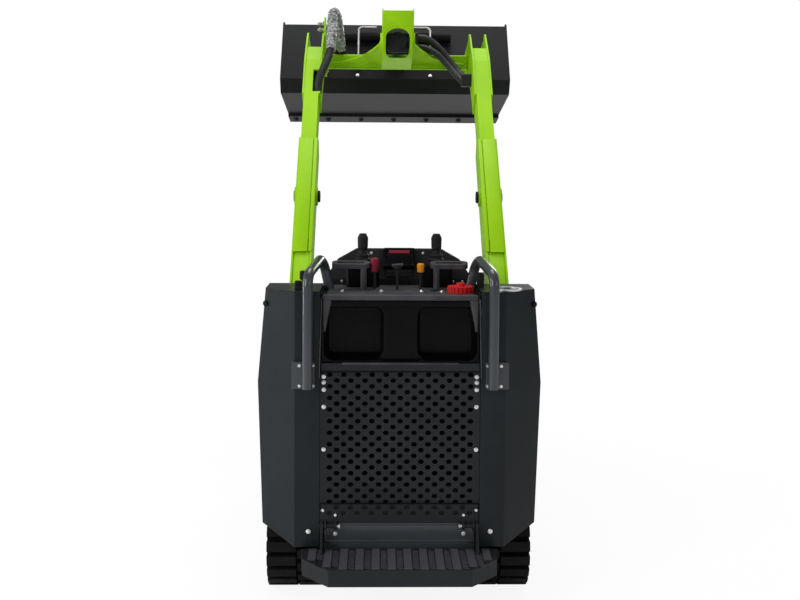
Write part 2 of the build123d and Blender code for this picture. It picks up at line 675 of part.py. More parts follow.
with BuildPart() as bucket_shell:
    with BuildSketch(Plane.YZ.offset(-BUCKET_HALF)):
        with BuildLine():
            outside = Polyline(
                on_bucket(FLOOR_LENGTH, 0), on_bucket(0, 0), on_back(0), on_back(back_length))
            offset(outside, amount=BUCKET_SHEET, side=Side.RIGHT, closed=True, kind=Kind.INTERSECTION)
        make_face()
    extrude(amount=BUCKET_WIDTH)
    # Stiffening bar along the top edge
    with BuildSketch(Plane.YZ.offset(-BUCKET_HALF)):
        with BuildLine():
            Polyline(
                on_back(back_length - LIP_BAR, 0),
                on_back(back_length, 0),
                on_back(back_length, -LIP_BAR),
                on_back(back_length - LIP_BAR, -LIP_BAR),
                close=True,
            )
        make_face()
    extrude(amount=BUCKET_WIDTH)
    for plate_start in (-BUCKET_HALF, BUCKET_HALF - BUCKET_SIDE):
        with BuildSketch(Plane.YZ.offset(plate_start)):
            with BuildLine():
                Polyline(
                    on_bucket(0, 0),
                    on_back(0),
                    on_back(back_length + 14),
                    on_back(back_length + 14, -SIDE_TOP_DEPTH),
                    on_bucket(FLOOR_LENGTH + 70, SIDE_FRONT_HEIGHT),
                    on_bucket(FLOOR_LENGTH + 96, 20),
                    on_bucket(FLOOR_LENGTH + 96, 0),
                    close=True,
                )
            make_face()
        extrude(amount=BUCKET_SIDE)
bucket_shell.part.label = "bucket_shell"
export_step(bucket_shell.part, "parts/bucket_shell.step")

EDGE_LAP = 26.0
EDGE_BEVEL = 40.0
with BuildPart() as cutting_edge:
    with BuildSketch(Plane.YZ.offset(-BUCKET_HALF)):
        with BuildLine():
            Polyline(
                on_bucket(FLOOR_LENGTH - EDGE_LAP, 0),
                on_bucket(FLOOR_LENGTH + EDGE_LENGTH - 2, 0),
                on_bucket(FLOOR_LENGTH + EDGE_LENGTH, -4),
                on_bucket(FLOOR_LENGTH + EDGE_LENGTH - EDGE_BEVEL, -EDGE_THICKNESS),
                on_bucket(FLOOR_LENGTH - EDGE_LAP, -EDGE_THICKNESS),
                close=True,
            )
        make_face()
    extrude(amount=BUCKET_WIDTH)
cutting_edge.part.label = "cutting_edge"
export_step(cutting_edge.part, "parts/cutting_edge.step")

# Hitch plate behind the bucket, with its pin lugs, rod ears and top bar
HITCH_PLATE = 12.0
HITCH_HALF = 430.0
HITCH_UPPER_HALF = 292.0
HITCH_LUG_HALF = 25.0
HITCH_LUG_RADIUS = 42.0
TOP_BAR_RADIUS = 23.5
TOP_BAR_UP = 246.0
TILT_EAR = 12.0

with BuildPart() as hitch_plate:
    with BuildSketch(Plane.YZ.offset(-HITCH_HALF)):
        with BuildLine():
            Polyline(
                on_back(-6, SEAT), on_back(112, SEAT), on_back(112, SEAT + HITCH_PLATE),
                on_back(-6, SEAT + HITCH_PLATE), close=True)
        make_face()
    extrude(amount=2 * HITCH_HALF)
    with BuildSketch(Plane.YZ.offset(-HITCH_UPPER_HALF)):
        with BuildLine():
            Polyline(
                on_back(100, SEAT), on_back(TOP_BAR_UP + 30, SEAT),
                on_back(TOP_BAR_UP + 30, SEAT + HITCH_PLATE), on_back(100, SEAT + HITCH_PLATE),
                close=True)
        make_face()
    extrude(amount=2 * HITCH_UPPER_HALF)
    # Top bar on its web
    with BuildSketch(Plane.YZ.offset(-HITCH_UPPER_HALF)):
        with Locations(on_back(TOP_BAR_UP, HITCH_PLATE + TOP_BAR_RADIUS - 1)):
            Circle(TOP_BAR_RADIUS)
    extrude(amount=2 * HITCH_UPPER_HALF)
    # Lugs of the two hitch pins
    for lug_centre in (-ARM_CENTRE, ARM_CENTRE):
        with BuildSketch(Plane.YZ.offset(lug_centre - HITCH_LUG_HALF)):
            with Locations(HITCH):
                Circle(HITCH_LUG_RADIUS)
            with BuildLine():
                Polyline(
                    from_hitch(-20, HITCH_LUG_RADIUS - 5),
                    on_back(104, HITCH_PLATE),
                    on_back(-4, HITCH_PLATE),
                    from_hitch(-8, -HITCH_LUG_RADIUS + 1),
                    close=True,
                )
            make_face()
            with Locations(HITCH):
                Circle(HITCH_PIN_RADIUS + PIN_FIT, mode=Mode.SUBTRACT)
        extrude(amount=2 * HITCH_LUG_HALF)
    # Ears beside the tilt rod's eye
    for ear_start in (-TILT_EAR_GAP - TILT_EAR, TILT_EAR_GAP):
        with BuildSketch(Plane.YZ.offset(ear_start)):
            with Locations(TILT_EYE):
                Circle(36)
            with BuildLine():
                Polyline(
                    turned((TILT_EYE[0] - 10, TILT_EYE[1] + 34), TILT_EYE, 0),
                    on_back(TOP_BAR_UP - 10, HITCH_PLATE),
                    on_back(40, HITCH_PLATE),
                    turned((TILT_EYE[0] - 14, TILT_EYE[1] - 32), TILT_EYE, 0),
                    close=True,
                )
            make_face()
        extrude(amount=TILT_EAR)
    for boss_start in (-TILT_EAR_GAP - TILT_EAR - PIN_HEAD, TILT_EAR_GAP + TILT_EAR):
        with BuildSketch(Plane.YZ.offset(boss_start)):
            with Locations(TILT_EYE):
                Circle(26)
        extrude(amount=PIN_HEAD)
hitch_plate.part.label = "hitch_plate"
export_step(hitch_plate.part, "parts/hitch_plate.step")

# Lock levers, each bent from one rod: out of the plate, up past the top bar and in across it
# Columns: across to the upright, the upright's foot up the plate, across to the handle's end
LOCK_LEVERS = (
    (-193.0, 70.0, -98.0),
    (183.0, 150.0, 88.0),
)
LOCK_ROD = 7.0
LOCK_BEND = 20.0
LOCK_STAND_OFF = HITCH_PLATE + 2 * TOP_BAR_RADIUS + LOCK_ROD + 2
LOCK_HANDLE_UP = TOP_BAR_UP + 34
with BuildPart() as hitch_lock_levers:
    for upright_x, foot_up, end_x in LOCK_LEVERS:
        foot = on_back(foot_up, HITCH_PLATE + 2 * SEAT)
        knee = on_back(foot_up, LOCK_STAND_OFF)
        shoulder = on_back(LOCK_HANDLE_UP, LOCK_STAND_OFF)
        with BuildLine() as lever_line:
            FilletPolyline(
                (upright_x, foot[0], foot[1]),
                (upright_x, knee[0], knee[1]),
                (upright_x, shoulder[0], shoulder[1]),
                (end_x, shoulder[0], shoulder[1]),
                radius=LOCK_BEND,
            )
        with BuildSketch(Plane(origin=lever_line.line @ 0, z_dir=lever_line.line % 0)):
            Circle(LOCK_ROD)
        sweep(path=lever_line.line)
hitch_lock_levers.part.label = "hitch_lock_levers"
export_step(hitch_lock_levers.part, "parts/hitch_lock_levers.step")

# Hoses at the top of the arms, in sleeves and held at both ends
TILT_SLEEVES = (18.0, 16.0)
COUPLER_SLEEVE = 18.0
PORT_BLOCK_X = 104.0
# Columns: across, forward, height
UPPER_TILT_HOSE = (
    (90, 1295, 2278),
    (150, 1291, 2274),
    (205, 1284, 2228),
    (256, 1270, 2163),
    (298, 1242, 2108),
    (320, 1200, 2082),
    (330, 1152, 2066),
)
LOWER_TILT_HOSE = (
    (90, 1290, 2232),
    (142, 1268, 2226),
    (196, 1250, 2196),
    (244, 1230, 2142),
    (284, 1194, 2092),
    (318, 1146, 2050),
)
COUPLER_HOSE = (
    (-366, 984, 1986),
    (-360, 990, 2053),
    (-335, 1020, 2115),
    (-312, 1062, 2180),
    (-308, 1092, 2255),
    (-306, 1125, 2330),
    (-300, 1175, 2382),
    (-290, 1235, 2382),
    (-282, 1278, 2335),
    (-275, 1296, 2268),
    (-272, 1342, 2220),
)


def hose_line(points, diameter):
    """The middle line of a hose: straight runs joined by the largest arcs that they allow."""
    corners = [Vector(across, at(forward), height) for across, forward, height in points]
    runs = [after - before for before, after in zip(corners, corners[1:])]
    radii = []
    for run_in, run_out in zip(runs, runs[1:]):
        half_turn = math.radians(run_in.get_angle(run_out) / 2)
        radii.append(0.45 * min(run_in.length, run_out.length) / math.tan(half_turn))
    print("Bend radii over the diameter:", [round(radius / diameter, 1) for radius in radii])
    with BuildLine() as line:
        FilletPolyline(*corners, radius=radii)
    return line.line


def sleeve(points, radius):
    """A sleeved hose as one solid tube."""
    line = hose_line(points, 2 * radius)
    with BuildPart() as tube:
        with BuildSketch(Plane(origin=line @ 0, z_dir=line % 0)):
            Circle(radius)
        sweep(path=line)
    return tube.part


upper_sleeve = sleeve(UPPER_TILT_HOSE, TILT_SLEEVES[0])
lower_sleeve = sleeve(LOWER_TILT_HOSE, TILT_SLEEVES[1])
with BuildPart() as tilt_hoses:
    add(upper_sleeve)
    add(lower_sleeve)
    # Port block on the tower's side, and another on the arm's inner plate
    with BuildSketch(Plane.YZ.offset(TOWER_HALF + SEAT)):
        with Locations((at(1295), 2254)):
            RectangleRounded(46, 96, 8)
    extrude(amount=PORT_BLOCK_X - TOWER_HALF)
    with BuildSketch(Plane.YZ.offset(ARM_INNER - SEAT)):
        with Locations((at(1150), 2062)):
            RectangleRounded(60, 60, 8)
    extrude(amount=-46)
tilt_hoses.part.label = "tilt_hoses"
export_step(tilt_hoses.part, "parts/tilt_hoses.step")

coupler_sleeve = sleeve(COUPLER_HOSE, COUPLER_SLEEVE)
with BuildPart() as coupler_hoses:
    add(coupler_sleeve)
    # Port block on top of the cross tube
    with BuildSketch(Plane.XY.offset(CROSS[1] + CROSS_SIZE / 2 + SEAT)):
        with Locations((COUPLER_HOSE[-1][0], CROSS[0])):
            RectangleRounded(58, CROSS_SIZE - 18, 8)
    extrude(amount=44)
coupler_hoses.part.label = "coupler_hoses"
export_step(coupler_hoses.part, "parts/coupler_hoses.step")

with BuildPart() as coupler_bracket:
    with BuildSketch(Plane.YZ.offset(-ARM_INNER + SEAT)):
        with BuildLine():
            Polyline(
                (HORN[0] - 28, HORN[1] - 64),
                (HORN[0] + 40, HORN[1] - 64),
                (HORN[0] + 40, HORN[1] + 50),
                (HORN[0] + 28, HORN[1] + 104),
                (HORN[0] - 12, HORN[1] + 104),
                (HORN[0] - 28, HORN[1] + 50),
                close=True,
            )
        make_face()
        for fitting_height in (46, 74):
            with Locations((HORN[0] + 8, HORN[1] + fitting_height)):
                Circle(9, mode=Mode.SUBTRACT)
    extrude(amount=ARM_PLATE)
coupler_bracket.part.label = "coupler_bracket"
export_step(coupler_bracket.part, "parts/coupler_bracket.step")

# Tracks: each one fixed loop, made of two halves whose lugs are half a pitch apart
# Columns: distance ahead of the rear face, axle height, radius of the belt's outside
TRACK_WHEELS = (
    (275.0, 194.0, 165.0),
    (480.0, 105.0, 80.0),
    (1080.0, 105.0, 80.0),
    (1300.0, 200.0, 165.0),
)
LUG_FOOT = 43.0
LUG_TIP = 37.0
LUG_ROOT = 6.0
LUG_SPLIT = 6.0
ROLLER_FIRST = TRACK_WHEELS[1][0]
ROLLER_LAST = TRACK_WHEELS[2][0]
SHOE_FLAT = 30.0


def belt_outline(inset):
    """A belt face as a flat outline with Y across and Z up: two end wheels and the flat under the rollers."""
    with BuildSketch(Plane.XY) as outline:
        for wheel_forward, wheel_height, belt_radius in (TRACK_WHEELS[0], TRACK_WHEELS[3]):
            with Locations((at(wheel_forward), wheel_height)):
                Circle(belt_radius - inset)
        with Locations((at((ROLLER_FIRST + ROLLER_LAST) / 2), LUG_HEIGHT + inset + SHOE_FLAT / 2)):
            Rectangle(ROLLER_LAST - ROLLER_FIRST, SHOE_FLAT)
        make_hull()
    return outline.sketch


belt_face = belt_outline(0).faces()[0]
belt_middle = belt_face.center()
belt_path = belt_face.outer_wire()
link_count = round(belt_path.length / LINK_PITCH)


def track_half(inner_x, shift):
    """The lugs on half the width of a track, shifted by a share of the pitch."""
    with BuildPart() as half:
        with BuildSketch(Plane.YZ.offset(inner_x)):
            for link in range(link_count):
                place = (link + shift) / link_count
                foot = belt_path @ place
                along = belt_path % place
                tilt = math.degrees(math.atan2(along.Y, along.X))
                # Lugs stand away from the middle of the loop
                away = along.X * (foot.Y - belt_middle.Y) - along.Y * (foot.X - belt_middle.X)
                side = math.copysign(1, away)
                with Locations(Location((foot.X, foot.Y), tilt)):
                    Polygon(
                        (-LUG_FOOT / 2, side * -LUG_ROOT),
                        (LUG_FOOT / 2, side * -LUG_ROOT),
                        (LUG_TIP / 2, side * LUG_HEIGHT),
                        (-LUG_TIP / 2, side * LUG_HEIGHT),
                        align=None,
                    )
        extrude(amount=(TRACK_WIDTH - LUG_SPLIT) / 2)
    return half.part


with BuildPart() as track_right:
    with BuildSketch(Plane.YZ.offset(TRACK_CENTRE - TRACK_WIDTH / 2)):
        add(belt_outline(0))
        add(belt_outline(BELT_THICKNESS), mode=Mode.SUBTRACT)
    extrude(amount=TRACK_WIDTH)
    add(track_half(TRACK_CENTRE - TRACK_WIDTH / 2, 0.0))
    add(track_half(TRACK_CENTRE + LUG_SPLIT / 2, 0.5))
track_right.part.label = "track_right"
export_step(track_right.part, "parts/track_right.step")

with BuildPart() as track_left:
    mirror(track_right.part, about=Plane.YZ)
track_left.part.label = "track_left"
export_step(track_left.part, "parts/track_left.step")

# Track frames: a channel above the rollers, with a yoke for the idler and lugs to the tub
FRAME_HALF = 55.0
FRAME_PLATE = 10.0
FRAME_TOP = 300.0
FRAME_LOW = 92.0
ROLLER_COUNT = 4
ROLLER_HEIGHT = TRACK_WHEELS[1][1]
ROLLER_RADIUS = TRACK_WHEELS[1][2] - BELT_THICKNESS - SEAT
SPROCKET_RADIUS = TRACK_WHEELS[0][2] - BELT_THICKNESS - SEAT
IDLER_RADIUS = TRACK_WHEELS[3][2] - BELT_THICKNESS - SEAT
AXLE_RADIUS = 16.0
roller_step = (ROLLER_LAST - ROLLER_FIRST) / (ROLLER_COUNT - 1)
roller_places = [ROLLER_FIRST + number * roller_step for number in range(ROLLER_COUNT)]
idler_forward, idler_height = TRACK_WHEELS[3][0], TRACK_WHEELS[3][1]
sprocket_forward, sprocket_height = TRACK_WHEELS[0][0], TRACK_WHEELS[0][1]

with BuildPart() as track_frame_right:
    for plate_start in (TRACK_CENTRE - FRAME_HALF, TRACK_CENTRE + FRAME_HALF - FRAME_PLATE):
        with BuildSketch(Plane.YZ.offset(plate_start)):
            with BuildLine():
                Polyline(
                    (at(ROLLER_FIRST - 46), FRAME_LOW),
                    (at(ROLLER_LAST + 40), FRAME_LOW),
                    (at(idler_forward), idler_height - 42),
                    (at(idler_forward + 40), idler_height),
                    (at(idler_forward), idler_height + 42),
                    (at(ROLLER_LAST + 60), FRAME_TOP),
                    (at(ROLLER_FIRST), FRAME_TOP),
                    (at(ROLLER_FIRST - 46), FRAME_TOP - 70),
                    close=True,
                )
            make_face()
        extrude(amount=FRAME_PLATE)
    with BuildSketch(Plane.XY.offset(FRAME_TOP - FRAME_PLATE)):
        with Locations((TRACK_CENTRE, at((ROLLER_FIRST + ROLLER_LAST + 60) / 2))):
            Rectangle(2 * FRAME_HALF, ROLLER_LAST - ROLLER_FIRST + 60)
    extrude(amount=FRAME_PLATE)
    # Two cross beams to the tub's side
    for beam_forward in (ROLLER_FIRST + 90, ROLLER_LAST - 60):
        with BuildSketch(Plane.YZ.offset(TUB_HALF)):
            with Locations((at(beam_forward), FRAME_TOP - 50)):
                Rectangle(80, 60)
        extrude(amount=TRACK_CENTRE - FRAME_HALF - TUB_HALF)
    # Axles of the rollers and the idler
    with BuildSketch(Plane.YZ.offset(TRACK_CENTRE - FRAME_HALF)):
        for roller_forward in roller_places:
            with Locations((at(roller_forward), ROLLER_HEIGHT)):
                Circle(AXLE_RADIUS)
        with Locations((at(idler_forward), idler_height)):
            Circle(AXLE_RADIUS)
    extrude(amount=2 * FRAME_HALF)
    with BuildSketch(Plane.YZ.offset(TRACK_CENTRE + FRAME_HALF)):
        for roller_forward in roller_places:
            with Locations((at(roller_forward), ROLLER_HEIGHT)):
                Circle(AXLE_RADIUS + 6)
        with Locations((at(idler_forward), idler_height)):
            Circle(AXLE_RADIUS + 10)
    extrude(amount=7)
track_frame_right.part.label = "track_frame_right"
export_step(track_frame_right.part, "parts/track_frame_right.step")

with BuildPart() as track_frame_left:
    mirror(track_frame_right.part, about=Plane.YZ)
track_frame_left.part.label = "track_frame_left"
export_step(track_frame_left.part, "parts/track_frame_left.step")

ROLLER_HALF = FRAME_HALF - FRAME_PLATE - 3
with BuildPart() as road_rollers:
    for roller_forward in roller_places:
        with BuildSketch(Plane.YZ.offset(TRACK_CENTRE - ROLLER_HALF)):
            with Locations((at(roller_forward), ROLLER_HEIGHT)):
                Circle(ROLLER_RADIUS)
                Circle(AXLE_RADIUS + SEAT, mode=Mode.SUBTRACT)
        extrude(amount=2 * ROLLER_HALF)
        with BuildSketch(Plane.YZ.offset(TRACK_CENTRE - ROLLER_HALF / 3)):
            with Locations((at(roller_forward), ROLLER_HEIGHT)):
                Circle(ROLLER_RADIUS + 1)
                Circle(ROLLER_RADIUS - 14, mode=Mode.SUBTRACT)
        extrude(amount=2 * ROLLER_HALF / 3, mode=Mode.SUBTRACT)
    mirror(about=Plane.YZ)
road_rollers.part.label = "road_rollers"
export_step(road_rollers.part, "parts/road_rollers.step")

with BuildPart() as front_idlers:
    with BuildSketch(Plane.YZ.offset(TRACK_CENTRE - 36)):
        with Locations((at(idler_forward), idler_height)):
            Circle(IDLER_RADIUS)
            Circle(IDLER_RADIUS - 30, mode=Mode.SUBTRACT)
    extrude(amount=72)
    with BuildSketch(Plane.YZ.offset(TRACK_CENTRE - 12)):
        with Locations((at(idler_forward), idler_height)):
            Circle(IDLER_RADIUS - 28)
            with PolarLocations(76, 5):
                Circle(22, mode=Mode.SUBTRACT)
    extrude(amount=24)
    with BuildSketch(Plane.YZ.offset(TRACK_CENTRE - ROLLER_HALF)):
        with Locations((at(idler_forward), idler_height)):
            Circle(40)
    extrude(amount=2 * ROLLER_HALF)
    with BuildSketch(Plane.YZ.offset(TRACK_CENTRE - ROLLER_HALF)):
        with Locations((at(idler_forward), idler_height)):
            Circle(AXLE_RADIUS + SEAT)
    extrude(amount=2 * ROLLER_HALF, mode=Mode.SUBTRACT)
    mirror(about=Plane.YZ)
front_idlers.part.label = "front_idlers"
export_step(front_idlers.part, "parts/front_idlers.step")

SPROCKET_TEETH = 13
SPROCKET_WIDTH = 44.0
MOTOR_RADIUS = 80.0
with BuildPart() as drive_sprockets:
    with BuildSketch(Plane.YZ.offset(TRACK_CENTRE - SPROCKET_WIDTH / 2)):
        with Locations((at(sprocket_forward), sprocket_height)):
            Circle(SPROCKET_RADIUS - 22)
            with PolarLocations(SPROCKET_RADIUS - 24, SPROCKET_TEETH):
                RectangleRounded(48, 26, 8)
            with PolarLocations(84, 6):
                Circle(14, mode=Mode.SUBTRACT)
    extrude(amount=SPROCKET_WIDTH)
    with BuildSketch(Plane.YZ.offset(TRACK_CENTRE + SPROCKET_WIDTH / 2)):
        with Locations((at(sprocket_forward), sprocket_height)):
            Circle(60)
    extrude(amount=34)
    mirror(about=Plane.YZ)
drive_sprockets.part.label = "drive_sprockets"
export_step(drive_sprockets.part, "parts/drive_sprockets.step")

with BuildPart() as drive_motors:
    with BuildSketch(Plane.YZ.offset(TUB_HALF)):
        with Locations((at(sprocket_forward), sprocket_height)):
            Circle(MOTOR_RADIUS)
    extrude(amount=60)
    with BuildSketch(Plane.YZ.offset(TUB_HALF + 60)):
        with Locations((at(sprocket_forward), sprocket_height)):
            Circle(MOTOR_RADIUS - 18)
    extrude(amount=TRACK_CENTRE - SPROCKET_WIDTH / 2 - TUB_HALF - 60)
    mirror(about=Plane.YZ)
drive_motors.part.label = "drive_motors"
export_step(drive_motors.part, "parts/drive_motors.step")

# Fenders over the tracks, ahead of the towers
FENDER_HALF = 512.0
FENDER_FRONT = 1500.0
FENDER_PLATE = 6.0
with BuildPart() as track_fenders:
    with BuildSketch(Plane.YZ.offset(TUB_HALF - TUB_PLATE)):
        with BuildLine():
            Polyline(
                (at(COVER_DEPTH + 4), TUB_TOP + SEAT),
                (at(FENDER_FRONT - 60), TUB_TOP + SEAT),
                (at(FENDER_FRONT), TUB_TOP - 60),
                (at(FENDER_FRONT) + FENDER_PLATE, TUB_TOP - 58),
                (at(FENDER_FRONT - 60) + 3, TUB_TOP + SEAT + FENDER_PLATE),
                (at(COVER_DEPTH + 4), TUB_TOP + SEAT + FENDER_PLATE),
                close=True,
            )
        make_face()
    extrude(amount=FENDER_HALF - TUB_HALF + TUB_PLATE)
    with BuildSketch(Plane.YZ.offset(FENDER_HALF - FENDER_PLATE)):
        with BuildLine():
            Polyline(
                (at(COVER_DEPTH + 4), TUB_TOP + SEAT + 1),
                (at(FENDER_FRONT - 60), TUB_TOP + SEAT + 1),
                (at(FENDER_FRONT) + 1, TUB_TOP - 59),
                (at(FENDER_FRONT) - 22, TUB_TOP - 59),
                (at(FENDER_FRONT - 80), TUB_TOP - 20),
                (at(COVER_DEPTH + 4), TUB_TOP - 20),
                close=True,
            )
        make_face()
    extrude(amount=FENDER_PLATE)
    # The sloping nose stands clear of the tub's side
    with BuildSketch(Plane.XY.offset(TUB_TOP + FENDER_PLATE + 2)):
        with Locations((TUB_HALF - TUB_PLATE / 2 - 4, at(FENDER_FRONT - 20))):
            Rectangle(TUB_PLATE + 10, 100)
    extrude(amount=-100, mode=Mode.SUBTRACT)
    mirror(about=Plane.YZ)
track_fenders.part.label = "track_fenders"
export_step(track_fenders.part, "parts/track_fenders.step")

# Engine bay: a plain block for the engine, on two mounting rails
ENGINE_HALF = 190.0
with BuildPart() as engine_block:
    with BuildSketch(Plane.XY.offset(TUB_FLOOR + TUB_PLATE + 60)):
        with Locations((0, at(930))):
            Rectangle(2 * ENGINE_HALF, 620)
    extrude(amount=560)
    for rail_x in (-120, 120):
        with BuildSketch(Plane.XY.offset(TUB_FLOOR + TUB_PLATE)):
            with Locations((rail_x, at(930))):
                Rectangle(60, 560)
        extrude(amount=61)
    fillet(engine_block.edges().filter_by(Axis.Z), 20)
engine_block.part.label = "engine_block"
export_step(engine_block.part, "parts/engine_block.step")

# Engine hood: one folded shell, open below, behind and at its grille
HOOD_HALF = 322.0
HOOD_START = COVER_DEPTH + 6
HOOD_END = 1490.0
HOOD_FOOT = TUB_TOP + DECK_PLATE + RUNNING
HOOD_TOP = DECK_HEIGHT - 101
HOOD_NOSE = 880.0
HOOD_SHEET = 5.0
GRILLE_HALF = 230.0
GRILLE_LOW = 530.0
GRILLE_TOP = 745.0
SHOULDER = 60.0


def hood_block(inset):
    """The hood's outer block, or its inner space when inset by the sheet."""
    with BuildPart() as block:
        with BuildSketch(Plane.YZ.offset(-HOOD_HALF + inset)):
            with BuildLine():
                Polyline(
                    (at(HOOD_START) - inset, HOOD_FOOT - 2 * inset),
                    (at(HOOD_START) - inset, HOOD_TOP - inset),
                    (at(HOOD_START + 330), HOOD_TOP - inset),
                    (at(HOOD_END - 60) - inset * 0.6, HOOD_NOSE - inset),
                    (at(HOOD_END) - inset, HOOD_NOSE - 90),
                    (at(HOOD_END) - inset, HOOD_FOOT - 2 * inset),
                    close=True,
                )
            make_face()
        extrude(amount=2 * (HOOD_HALF - inset))
        with BuildSketch(Plane.XZ.offset(-at(HOOD_END) - 1)):
            with BuildLine():
                Polyline(
                    (-HOOD_HALF + inset, HOOD_FOOT - 2 * inset),
                    (-HOOD_HALF + inset, HOOD_TOP - SHOULDER),
                    (-HOOD_HALF + SHOULDER + inset * 0.4, HOOD_TOP + 1 - inset),
                    (HOOD_HALF - SHOULDER - inset * 0.4, HOOD_TOP + 1 - inset),
                    (HOOD_HALF - inset, HOOD_TOP - SHOULDER),
                    (HOOD_HALF - inset, HOOD_FOOT - 2 * inset),
                    close=True,
                )
            make_face()
        extrude(amount=HOOD_END - HOOD_START + 2, mode=Mode.INTERSECT)
    return block.part


# The hood's hinge: knuckles on its rear top edge, round pins on the console housing
HOOD_AXIS = (at(HOOD_START + 6), HOOD_TOP + 11)
KNUCKLE_RADIUS = 9.0
HOOD_PIN_RADIUS = 4.0
HINGE_PLACES = (-180.0, 180.0)
LUG_HALF = 10.0
KNUCKLE_LENGTH = 18.0
HINGE_GAP = 1.0
HOUSING_FRONT = 444.0

with BuildPart() as hood_hinges:
    for hinge_x in HINGE_PLACES:
        with BuildSketch(Plane.YZ.offset(hinge_x - LUG_HALF)):
            with Locations(HOOD_AXIS):
                Circle(KNUCKLE_RADIUS)
            with BuildLine():
                Polyline(
                    (at(HOUSING_FRONT) + SEAT, HOOD_AXIS[1] - 30),
                    (at(HOUSING_FRONT) + SEAT, HOOD_AXIS[1] + 20),
                    (HOOD_AXIS[0], HOOD_AXIS[1] + KNUCKLE_RADIUS),
                    (HOOD_AXIS[0] - KNUCKLE_RADIUS, HOOD_AXIS[1]),
                    close=True,
                )
            make_face()
        extrude(amount=2 * LUG_HALF)
        with BuildSketch(Plane.YZ.offset(hinge_x - LUG_HALF - KNUCKLE_LENGTH - 2 * HINGE_GAP)):
            with Locations(HOOD_AXIS):
                Circle(HOOD_PIN_RADIUS)
        extrude(amount=2 * (LUG_HALF + KNUCKLE_LENGTH + 2 * HINGE_GAP))
hood_hinges.part.label = "hood_hinges"
export_step(hood_hinges.part, "parts/hood_hinges.step")

with BuildPart() as engine_hood:
    add(hood_block(0))
    add(hood_block(HOOD_SHEET), mode=Mode.SUBTRACT)
    # Notches for the hinge lugs, and the knuckles beside them
    with BuildSketch(Plane.XY.offset(HOOD_TOP - 20)):
        for hinge_x in HINGE_PLACES:
            with Locations((hinge_x, HOOD_AXIS[0])):
                Rectangle(2 * (LUG_HALF + HINGE_GAP), 4 * KNUCKLE_RADIUS)
    extrude(amount=30, mode=Mode.SUBTRACT)
    for hinge_x in HINGE_PLACES:
        for knuckle_start in (hinge_x - LUG_HALF - HINGE_GAP - KNUCKLE_LENGTH, hinge_x + LUG_HALF + HINGE_GAP):
            with BuildSketch(Plane.YZ.offset(knuckle_start)):
                with Locations(HOOD_AXIS):
                    Circle(KNUCKLE_RADIUS)
                with Locations((HOOD_AXIS[0] + 6, HOOD_AXIS[1] - 7)):
                    Rectangle(16, 10)
                with Locations(HOOD_AXIS):
                    Circle(HOOD_PIN_RADIUS + PIN_FIT, mode=Mode.SUBTRACT)
            extrude(amount=KNUCKLE_LENGTH)
    with BuildSketch(Plane.XZ.offset(-at(HOOD_END) - 1)):
        with Locations((0, (GRILLE_LOW + GRILLE_TOP) / 2)):
            RectangleRounded(2 * GRILLE_HALF, GRILLE_TOP - GRILLE_LOW, 20)
    extrude(amount=20, mode=Mode.SUBTRACT)
engine_hood.part.label = "engine_hood"
export_step(engine_hood.part, "parts/engine_hood.step")

SLAT_COUNT = 9
with BuildPart() as front_grille:
    with BuildSketch(Plane.XZ.offset(-at(HOOD_END) + HOOD_SHEET + SEAT)):
        with Locations((0, (GRILLE_LOW + GRILLE_TOP) / 2)):
            Rectangle(2 * GRILLE_HALF + 40, GRILLE_TOP - GRILLE_LOW + 40)
            Rectangle(2 * GRILLE_HALF - 30, GRILLE_TOP - GRILLE_LOW - 30, mode=Mode.SUBTRACT)
    extrude(amount=6)
    slat_pitch = (GRILLE_TOP - GRILLE_LOW - 30) / (SLAT_COUNT + 1)
    for slat in range(1, SLAT_COUNT + 1):
        slat_height = GRILLE_LOW + 15 + slat * slat_pitch
        with BuildSketch(Plane.YZ.offset(-GRILLE_HALF)):
            with Locations(Location((at(HOOD_END) - HOOD_SHEET - SEAT - 6, slat_height), 30)):
                Rectangle(14, 4)
        extrude(amount=2 * GRILLE_HALF)
front_grille.part.label = "front_grille"
export_step(front_grille.part, "parts/front_grille.step")

# Perforated rear panel, rolled back at its top and bottom
PANEL_LOW = 394.0
PANEL_TOP = HOUSING_LOW - 8
PANEL_SHEET = 4.0
PANEL_HALF = RECESS_HALF - 2
PANEL_ROLL = 34.0
HOLE_WIDTH = 24.0
HOLE_HEIGHT = 17.0
HOLE_PITCH = 52.0
HOLES_ACROSS = 11
ROW_PITCH = 21.7
HOLE_ROWS = 23
with BuildPart() as perforated_panel:
    with BuildSketch(Plane.YZ.offset(-PANEL_HALF)):
        with BuildLine():
            panel_line = FilletPolyline(
                (at(60), PANEL_LOW),
                (at(0), PANEL_LOW),
                (at(0), PANEL_TOP),
                (at(60), PANEL_TOP),
                radius=PANEL_ROLL,
            )
            offset(panel_line, amount=PANEL_SHEET, side=Side.RIGHT, closed=True)
        make_face()
    extrude(amount=2 * PANEL_HALF)
    # Six-sided holes in staggered rows, also round the rolled top and bottom
    with BuildSketch(Plane.XZ.offset(-at(0) + 1)):
        for row in range(HOLE_ROWS):
            row_height = (PANEL_LOW + PANEL_TOP) / 2 + (row - (HOLE_ROWS - 1) / 2) * ROW_PITCH
            holes_here = HOLES_ACROSS - row % 2
            for hole in range(holes_here):
                with Locations(((hole - (holes_here - 1) / 2) * HOLE_PITCH, row_height)):
                    Polygon(
                        (-HOLE_WIDTH / 2, 0),
                        (-HOLE_WIDTH / 4, -HOLE_HEIGHT / 2),
                        (HOLE_WIDTH / 4, -HOLE_HEIGHT / 2),
                        (HOLE_WIDTH / 2, 0),
                        (HOLE_WIDTH / 4, HOLE_HEIGHT / 2),
                        (-HOLE_WIDTH / 4, HOLE_HEIGHT / 2),
                        align=None,
                    )
    extrude(amount=-PANEL_ROLL - 2, mode=Mode.SUBTRACT)
perforated_panel.part.label = "perforated_panel"
export_step(perforated_panel.part, "parts/perforated_panel.step")

